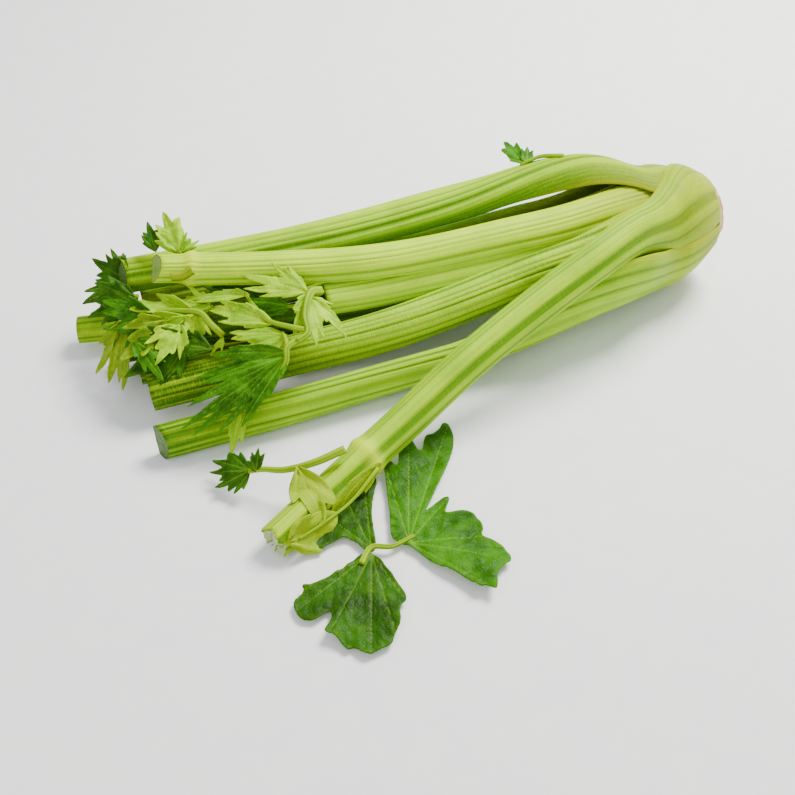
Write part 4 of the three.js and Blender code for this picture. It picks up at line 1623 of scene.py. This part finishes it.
def outer_stalks() -> list[Stalk]:
    """The three stalks of the outermost layer."""
    return [
        Stalk("stalk_splayed", "stalk_green", "splayed", 0, 42,
              [(-25, -40, 69), (-57, -53, 65), (-100, -65, 52), (-145, -79, 38), (-188, -95, 22),
               (-231, -115, 13), (-275, -141, 10)],
              root=68, face=60, half=51, half_back=66, curve=9.2, taper=0.86, sheath=-6, melt=112,
              sheath_back=4, melt_back=64, rib_depth=1.1, profile=SPLAYED_RIBS, torn=2.2, ragged=0.012,
              joint=Node(70, 1.5, 4.0, 0.92), cut="torn", rows=190, columns=170, seed=1.0),
        Stalk("stalk_front", "stalk_green", "front", 0, -45,
              [(-41, -46, 22), (-106, -52, 16), (-176, -55, 13), (-247, -57, 11.5), (-314, -57, 10)],
              face=15, half=58, curve=10, sheath=50, melt=130, sheath_back=70, melt_back=130,
              slant=0.4, ribs=8, rib_depth=1.0, cut="dark", rows=180, columns=160, seed=2.0),
        Stalk("stalk_back", "stalk_deep", "dark", 0, 205,
              [(-46, 42, 28), (-126, 50, 18), (-206, 60, 12), (-301, 66, 7.6)],
              face=208, half=53, curve=10.5, cut="dark", rows=110, columns=90, seed=3.0),
    ]


def second_stalks() -> list[Stalk]:
    """The three stalks of the second layer."""
    return [
        Stalk("stalk_far", "stalk_green", "far", 1, 118,
              [(-30, 36, 71), (-110, 45, 53), (-204, 48, 45), (-310, 56, 42)],
              face=55, turn=130, half=52, curve=10.5, sheath=40, melt=90, slant=0.5, rib_depth=1.3,
              profile=FAR_RIBS, cut="dark", rows=180, columns=160, seed=4.0),
        Stalk("stalk_middle", "stalk_green", "middle", 1, 14,
              [(-26, -30, 50), (-79, -30, 44), (-170, -35, 33), (-239, -27, 24), (-313, -22, 18)],
              face=45, half=46, curve=10.8, ribs=10, rib_depth=1.1, cut="dark", rows=180,
              columns=160, seed=5.0),
        Stalk("stalk_under", "stalk_deep", "dark", 1, -85,
              [(-56, -10, 13), (-146, -6, 12), (-223, -4, 12), (-315, 0, 11)],
              face=-60, half=48, curve=10.5, cut="dark", rows=100, columns=80, seed=6.0),
    ]


def third_stalks() -> list[Stalk]:
    """The bright stalk on top and the two stalks that share its layer."""
    return [
        Stalk("stalk_top", "stalk_bright", "top", 2, 78,
              [(-31, -8, 66), (-75, -10, 64.5), (-159, -5, 61), (-225, 11, 59.5), (-292, 32, 60)],
              face=60, half=36, curve=10.5, thick=8.4, taper=0.72, sheath=6, melt=64, slant=0.8,
              ribs=9, rib_depth=0.85, joint=Node(19, 1.6, 3.4, 0.86),
              stubs=[Stem([(-274, 20.4, 62), (-280, 20.4, 59.4), (-286, 22.3, 58.8)], 2.6, 0.95, "top")],
              rows=180, columns=160, seed=7.0),
        Stalk("stalk_inner_front", "stalk_deep", "dark", 2, -25,
              [(-76, -14, 28), (-176, -8, 26), (-276, 4, 28)], face=0, half=45, curve=9,
              cut="dark", rows=100, columns=80, seed=8.0),
        Stalk("stalk_inner_back", "stalk_deep", "dark", 2, 196,
              [(-76, 22, 36), (-176, 28, 30), (-291, 32, 29)], face=200, half=55, curve=9,
              cut="dark", rows=100, columns=80, seed=9.0),
    ]


def young_stalks() -> list[Stalk]:
    """The three young stalks inside the head."""
    return [
        Stalk("stalk_leafy", "stalk_bright", "young", 3, 40,
              [(-46, -12, 55), (-90, -17, 51), (-162, -13, 46), (-205, -8, 44)], face=60, half=58,
              curve=8.6, ribs=8, rib_depth=0.7, rows=120, columns=110, seed=10.0),
        Stalk("stalk_long", "stalk_green", "far", 3, 150,
              [(-76, 14, 44), (-176, 20, 40), (-273, 36, 18), (-342, 52, 14)], face=80, half=50,
              curve=8.5, ribs=8, rows=130, columns=110, seed=11.0),
        Stalk("stalk_thin", "stalk_deep", "dark", 3, 265,
              [(-76, 2, 28), (-196, 14, 16), (-321, 22, 11)], face=270, half=55, curve=7.5, thick=7,
              cut="dark", rows=100, columns=80, seed=12.0),
    ]


def heart() -> list[Stalk]:
    """The two pale stalks of the heart."""
    return [
        Stalk("heart_upper", "stalk_pale", "heart", 4, 80, [(-40, 0, 50), (-110, -2, 47)], half=62,
              curve=7, thick=4, rows=70, columns=60, seed=13.0),
        Stalk("heart_lower", "stalk_pale", "heart", 4, 255, [(-40, 2, 34), (-100, 6, 33)], half=62,
              curve=7, thick=4, rows=70, columns=60, seed=14.0),
    ]


def lower_leaflet(centre: Flat, height: float, outline: list[Flat], root: Flat,
                  tips: list[Flat], wave: float, crease: float, seed: float,
                  blade: str) -> Leaflet:
    """A leaflet that lies on the table, with its edge and veins given on the table.

    Args:
        centre: A point inside it that sees all of its edge.
        height: How high its middle lies.
        outline: Its edge.
        root: Where its veins start.
        tips: Where its main veins end.
        wave: How far it waves, as a share of its length.
        crease: How steeply it rises to each side.
        seed: Varies its unevenness.
        blade: Its finish.

    Returns:
        The leaflet.
    """
    x, y = centre
    return Leaflet(
        base=(x, y, height), tip=(x + 45, y, height), droop=0.0, wave=wave, crease=crease,
        outline=[(px - x, py - y) for px, py in outline], vein_root=(root[0] - x, root[1] - y),
        vein_tips=[(px - x, py - y) for px, py in tips], cell=0.8, seed=seed, blade=blade,
        draped=False)


def lower_leaf() -> Spray:
    """Lays the dark leaf of three leaflets on the table.

    Returns:
        The spray.
    """
    right = [(-210, -163), (-205, -176), (-197, -185), (-193, -192), (-188, -200), (-186, -199),
             (-182, -204), (-180, -201), (-178, -195), (-172, -190), (-166, -188), (-167, -179),
             (-169, -175), (-175, -168), (-171, -163), (-174, -152), (-179, -150), (-186, -149.5),
             (-187, -148), (-180, -139), (-184, -138), (-198, -145), (-196, -143.5), (-191, -138),
             (-183, -129), (-176, -121), (-166, -108), (-160, -95), (-160, -83), (-171, -92),
             (-176, -92), (-183, -105), (-186, -94), (-195, -101), (-199, -112), (-204, -102),
             (-209, -120), (-214, -140), (-219, -156)]
    lower = [(-233, -158), (-245, -163), (-255, -166), (-264, -169), (-270, -167.5), (-269, -171),
             (-277, -175), (-276, -186), (-269, -189), (-260, -185), (-262, -192), (-265, -195),
             (-268, -198), (-263, -201), (-260, -210), (-257, -209), (-252, -216), (-246, -215),
             (-239, -214), (-237, -210), (-231, -204), (-229, -195), (-223, -192), (-225, -178),
             (-229, -162)]
    left = [(-230, -159), (-227, -157), (-223, -137), (-218, -125), (-211, -113), (-217, -107),
            (-228, -112), (-240, -120), (-250, -131), (-257, -145), (-254, -149), (-250, -147),
            (-240, -145), (-236, -150), (-233, -157)]
    return Spray(
        "leaf_lower", "leaf_dark",
        leaflets=[
            lower_leaflet((-207, -151), 3.6, right, (-211, -160),
                          [(-161, -88), (-188, -98), (-205, -108), (-182, -140), (-170, -170),
                           (-169, -187), (-184, -201)], 0.035, 0.02, 1.0, "green"),
            lower_leaflet((-242, -175), 3.2, lower, (-231, -160),
                          [(-275, -180), (-268, -170), (-265, -199), (-250, -215), (-236, -210),
                           (-225, -191)], 0.045, 0.03, 2.0, "dark"),
            lower_leaflet((-232, -134), 3.2, left, (-230, -157),
                          [(-250, -146), (-245, -128), (-218, -109), (-232, -115)], 0.02, 0.0, 3.0,
                          "dark"),
        ],
        stems=[Stem([(-238, -165, 3.9), (-230, -157, 4.1), (-220, -160, 4.3), (-207, -157, 3.6)], 1.5)],
    )


def splayed_leaves() -> list[Spray]:
    """The pale flaps and the small dark leaf on the splayed stalk."""
    return [
        Spray("leaf_folded", "leaf_olive", [
            Leaflet((-253, -108, 22), (-250, -140, 12), (-0.1, -0.8, 0.6),
                    ((-26, 0.6), (0, 1), (20, 0.82)), 18, Habit.FOLDED, blade="pale", seed=1),
            Leaflet((-270, -146, 12), (-240, -136, 9), (0.1, -0.8, 0.6),
                    ((-34, 0.6), (-10, 0.86), (0, 1), (26, 0.55)), 24, Habit.FOLDED, blade="pale",
                    seed=2),
            Leaflet((-210, -113, 15), (-244, -128, 7), (0.3, -0.8, 0.5),
                    ((0, 1), (5, 0.8), (14, 0.6), (22, 0.45)), 12, Habit.CRINKLED, blade="olive",
                    seed=3),
        ], [Stem([(-212, -116, 14), (-230, -128, 9), (-248, -138, 10), (-264, -145, 11)], 0.9)]),
        Spray("leaf_curled", "leaf_dark", [
            Leaflet((-275, -94, 13), (-294, -85, 11), (0, -0.35, 0.9),
                    ((-40, 0.81), (-19, 1.07), (0, 1), (26, 0.92), (58, 0.66)), 24, crease=-0.1,
                    blade="dark", seed=4),
            Leaflet((-273, -97, 14), (-269, -91, 24), (-0.3, -0.7, 0.6), ((0, 1), (25, 0.7)),
                    blade="dark", seed=5),
        ], [Stem([(-227, -108, 26), (-244, -108, 22), (-259, -104, 18), (-269, -97, 15),
                  (-276, -94, 13)], 2.0)]),
    ]


def sprig() -> list[Spray]:
    """The small sprig behind the head near its root."""
    return [
        Spray("leaf_sprig", "leaf_green", [
            Leaflet((-59, 48, 68), (-60, 74, 70), (-0.2, -0.6, 0.7),
                    ((-25, 0.5), (0, 1), (24, 0.45)), 22, seed=6),
            Leaflet((-56, 47, 68), (-51, 59, 72), (-0.2, -0.6, 0.7),
                    ((-26, 0.6), (0, 1), (26, 0.6)), seed=7),
        ], [Stem([(-35, 40, 73), (-46, 47, 71), (-54, 48, 69), (-60, 48, 67)], 1.4)]),
    ]


def centre_sprays() -> list[Spray]:
    """The bright young leaves on the leafy stalk's tip, and the ones that droop from them."""
    crinkled, feathery = Habit.CRINKLED, Habit.FEATHERY
    return [
        Spray("spray_centre", "leaf_bright", [
            Leaflet((-217, -17, 58), (-231, 5, 66), (-0.1, -0.6, 0.75),
                    ((-12, 0.74), (0, 1), (22, 1.4), (34, 1.26), (43, 0.95)), 11, feathery,
                    blade="bright", seed=8),
            Leaflet((-216, -17, 58), (-224, -38, 48), (0.3, -0.7, 0.6),
                    ((-37, 0.68), (-17, 1.06), (0, 1)), 20, blade="bright", seed=9),
            Leaflet((-218, -20, 58), (-206, -46, 50), (0.2, -0.7, 0.7),
                    ((-42, 0.82), (-34, 0.99), (-24, 0.87), (0, 1), (6, 0.78), (31, 0.45)), 14,
                    feathery, blade="bright", seed=10),
            Leaflet((-240, -28, 51), (-274, 6, 49), (-0.1, -0.5, 0.85),
                    ((-14, 0.49), (-8, 0.79), (0, 1), (14, 0.65)), 13, feathery, blade="bright",
                    seed=11),
            Leaflet((-247, 1, 51), (-281, 15, 49), (0, -0.4, 0.9),
                    ((-14, 0.41), (0, 1), (7, 0.8)), 11, feathery, blade="bright", seed=12),
            Leaflet((-227, -15, 49), (-250, 5, 47), (0, -0.4, 0.9),
                    ((0, 1), (22, 0.73), (42, 0.43)), 18, blade="green", seed=13),
        ], [
            Stem([(-210, -16, 57), (-217, -19, 59), (-224, -32, 56), (-226, -43, 53),
                  (-233, -46, 51)], 2.4),
            Stem([(-226, -41, 53), (-234, -34, 52), (-243, -24, 51), (-247, -10, 51),
                  (-249, 3, 51)], 1.5),
            Stem([(-216, -18, 58), (-222, -19, 53), (-229, -14, 49)], 1.3),
        ]),
        Spray("spray_drooping", "leaf_green", [
            Leaflet((-236, -36, 49), (-263, -21, 46), (0, -0.5, 0.85),
                    ((0, 1), (7, 0.95), (22, 0.8), (57, 0.47)), 18, feathery, blade="bright",
                    seed=14),
            Leaflet((-240, -49, 48), (-286, -41, 39), (0, -0.6, 0.8),
                    ((-24, 0.42), (-20, 0.62), (-14, 0.81), (0, 1), (10, 0.73)), 11, feathery,
                    seed=15),
            Leaflet((-240, -50, 46), (-294, -69, 27), (-0.1, -0.7, 0.7),
                    ((-22, 0.73), (-14, 0.9), (-6, 1.04), (0, 1), (8, 0.84)), 8, feathery, seed=16),
            Leaflet((-240, -50, 47), (-271, -71, 28), (-0.2, -0.7, 0.7),
                    ((-10, 0.84), (0, 1), (20, 0.3)), 12, feathery, seed=17),
            Leaflet((-271, -62, 27), (-281, -76, 11), (-0.2, -0.8, 0.5),
                    ((-19, 0.5), (0, 1), (15, 0.73)), 16, blade="bright", seed=18),
        ], [
            Stem([(-230, -44, 51), (-239, -47, 49), (-242, -53, 44), (-251, -58, 36),
                  (-265, -63, 28), (-272, -68, 22)], 1.7),
            Stem([(-239, -48, 49), (-238, -41, 50), (-238, -34, 49)], 1.2),
        ]),
        # Painted shade: the inner leaf takes the dark blade for the shadow that it lies in.
        Spray("leaf_inner", "leaf_dark", [
            Leaflet((-275, -21, 37), (-302, 0, 36), (0, -0.6, 0.8),
                    ((-19, 0.63), (0, 1), (12, 0.66)), 20, blade="dark", seed=19),
            Leaflet((-284, -8, 39), (-322, -14, 27), (0, -0.6, 0.8),
                    ((-26, 0.75), (0, 1), (26, 0.75)), 24, crinkled, blade="dark", seed=40),
        ]),
    ]


def left_spray() -> list[Spray]:
    """The crinkled bright leaves among the cut ends."""
    crinkled = Habit.CRINKLED
    return [
        Spray("spray_left", "leaf_bright", [
            Leaflet((-280, 4, 47), (-310, 19, 44), (-0.1, -0.5, 0.8),
                    ((-33, 0.37), (-24, 0.72), (-9, 0.99), (0, 1), (15, 0.86)), 13, crinkled,
                    wave=0.12, blade="bright", seed=20),
            Leaflet((-284, 1, 46), (-314, 3, 38), (-0.2, -0.7, 0.6),
                    ((-16, 0.92), (0, 1), (11, 0.6)), 16, crinkled, wave=0.1, blade="bright", seed=21),
            Leaflet((-281, 0, 46), (-297, -4, 37), (0.1, -0.7, 0.6),
                    ((-26, 0.93), (0, 1), (8, 0.76), (27, 0.5)), 18, crinkled, wave=0.1,
                    blade="bright", seed=22),
            Leaflet((-279, 2, 45), (-279, -12, 34), (0.1, -0.8, 0.5),
                    ((-45, 0.75), (-20, 0.82), (0, 1), (26, 0.79)), 18, blade="bright", seed=23),
            Leaflet((-304, 15, 43), (-326, 30, 38), (-0.3, -0.5, 0.8),
                    ((-15, 1.17), (0, 1), (8, 0.6)), 16, wave=0.1, blade="green", seed=24),
            Leaflet((-267, -13, 38), (-276, -18, 31), (0, -0.7, 0.7), ((0, 1), (27, 0.73)), 12,
                    blade="bright", seed=25),
            Leaflet((-294, 3, 45), (-324, -8, 34), (-0.2, -0.7, 0.6),
                    ((-32, 0.7), (0, 1), (28, 0.75)), 20, crinkled, wave=0.1, blade="olive", seed=36),
            Leaflet((-288, -2, 44), (-306, -20, 36), (-0.1, -0.7, 0.6),
                    ((-30, 0.8), (0, 1), (30, 0.7)), 20, crinkled, wave=0.1, blade="bright", seed=37),
            Leaflet((-300, 10, 44), (-328, 16, 38), (-0.3, -0.6, 0.7),
                    ((-34, 0.8), (0, 1), (34, 0.8)), 22, crinkled, wave=0.1, blade="green", seed=38),
            Leaflet((-268, 4, 46), (-290, 18, 46), (0, -0.5, 0.9),
                    ((-30, 0.7), (0, 1), (30, 0.7)), 20, crinkled, wave=0.08, blade="bright", seed=39),
        ], [Stem([(-267, -13, 38), (-272, -7, 43), (-276, 0, 47), (-284, 5, 47), (-295, 10, 46),
                  (-306, 16, 43)], 1.8)]),
    ]


def end_leaves() -> list[Spray]:
    """The single leaves round the cut ends and in the gap between the stalks."""
    crinkled, feathery = Habit.CRINKLED, Habit.FEATHERY
    return [
        Spray("leaf_behind", "leaf_dark", [
            Leaflet((-307, 56, 36), (-332, 59, 34), (-0.4, -0.4, 0.8),
                    ((-72, 0.84), (-44, 1.0), (0, 1), (15, 1.12), (38, 0.86)), 26, wave=0.1,
                    blade="dark", seed=26),
            Leaflet((-306, 36, 38), (-334, 36, 34), (-0.3, -0.6, 0.7),
                    ((-40, 0.85), (0, 1), (40, 0.85)), 30, crinkled, wave=0.08, blade="dark", seed=41),
            Leaflet((-306, 39, 38), (-325, 49, 36), (-0.3, -0.6, 0.7),
                    ((0, 1), (21, 0.9), (39, 0.66), (77, 0.48)), 22, blade="dark", seed=27),
        ], [Stem([(-305, 38, 38), (-317, 44, 37), (-320, 57, 36)], 1.4)]),
        Spray("leaf_top_bright", "leaf_bright", [
            Leaflet((-277, 45, 57), (-279, 69, 70), (-0.2, -0.7, 0.6),
                    ((-81, 0.48), (-27, 0.55), (0, 1), (25, 0.66)), 28, crinkled, blade="bright",
                    seed=28),
        ]),
        Spray("leaf_top_small", "leaf_dark", [
            Leaflet((-289, 53, 55), (-289, 72, 64), (-0.2, -0.7, 0.6),
                    ((-17, 0.66), (0, 1), (22, 0.66)), 20, blade="dark", seed=29),
        ]),
        Spray("leaf_hanging", "leaf_olive", [
            Leaflet((-316, 17, 38), (-328, 1, 12), (-0.3, -0.8, 0.5),
                    ((-23, 0.99), (-9, 1.06), (0, 1), (7, 1.1), (13, 0.69)), 12, crinkled,
                    wave=0.1, blade="olive", seed=30),
            Leaflet((-318, 17, 40), (-336, 10, 18), (-0.5, -0.6, 0.6),
                    ((-15, 0.6), (0, 1), (8, 0.6)), 14, crinkled, blade="olive", seed=31),
        ]),
        Spray("leaf_pointed", "leaf_green", [
            Leaflet((-315, 2, 37), (-306, -29, 33.5), (0, -0.7, 0.7),
                    ((-11, 0.53), (0, 1), (16, 0.74), (45, 0.42)), 16, feathery, seed=32),
        ]),
        Spray("leaf_gap", "leaf_dark", [
            Leaflet((-225, -2, 47), (-266, 26, 45), (0, -0.4, 0.9),
                    ((-8, 0.73), (0, 1), (9, 0.5)), 12, blade="dark", draped=False, seed=33),
        ]),
    ]


def main() -> None:
    """Builds the head piece by piece, then the studio round it."""
    logging.basicConfig(level=logging.INFO, format="%(name)s: %(message)s")
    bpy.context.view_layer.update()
    Studio().build()
    palette = Palette()
    stalks = outer_stalks() + second_stalks() + third_stalks() + young_stalks() + heart()
    rounds = Rounds(stalks)
    leaves = [lower_leaf(), *splayed_leaves(), *sprig(), *centre_sprays(), *left_spray(), *end_leaves()]
    pieces = [stalk.build(palette) for stalk in stalks]
    pieces += [Crown().build(palette)]
    pieces += [spray.build(palette, rounds) for spray in leaves]
    for piece in pieces:
        LOG.info("%s: %d faces", piece.name, len(piece.data.polygons))
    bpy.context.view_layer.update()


if __name__ == "__main__":
    main()
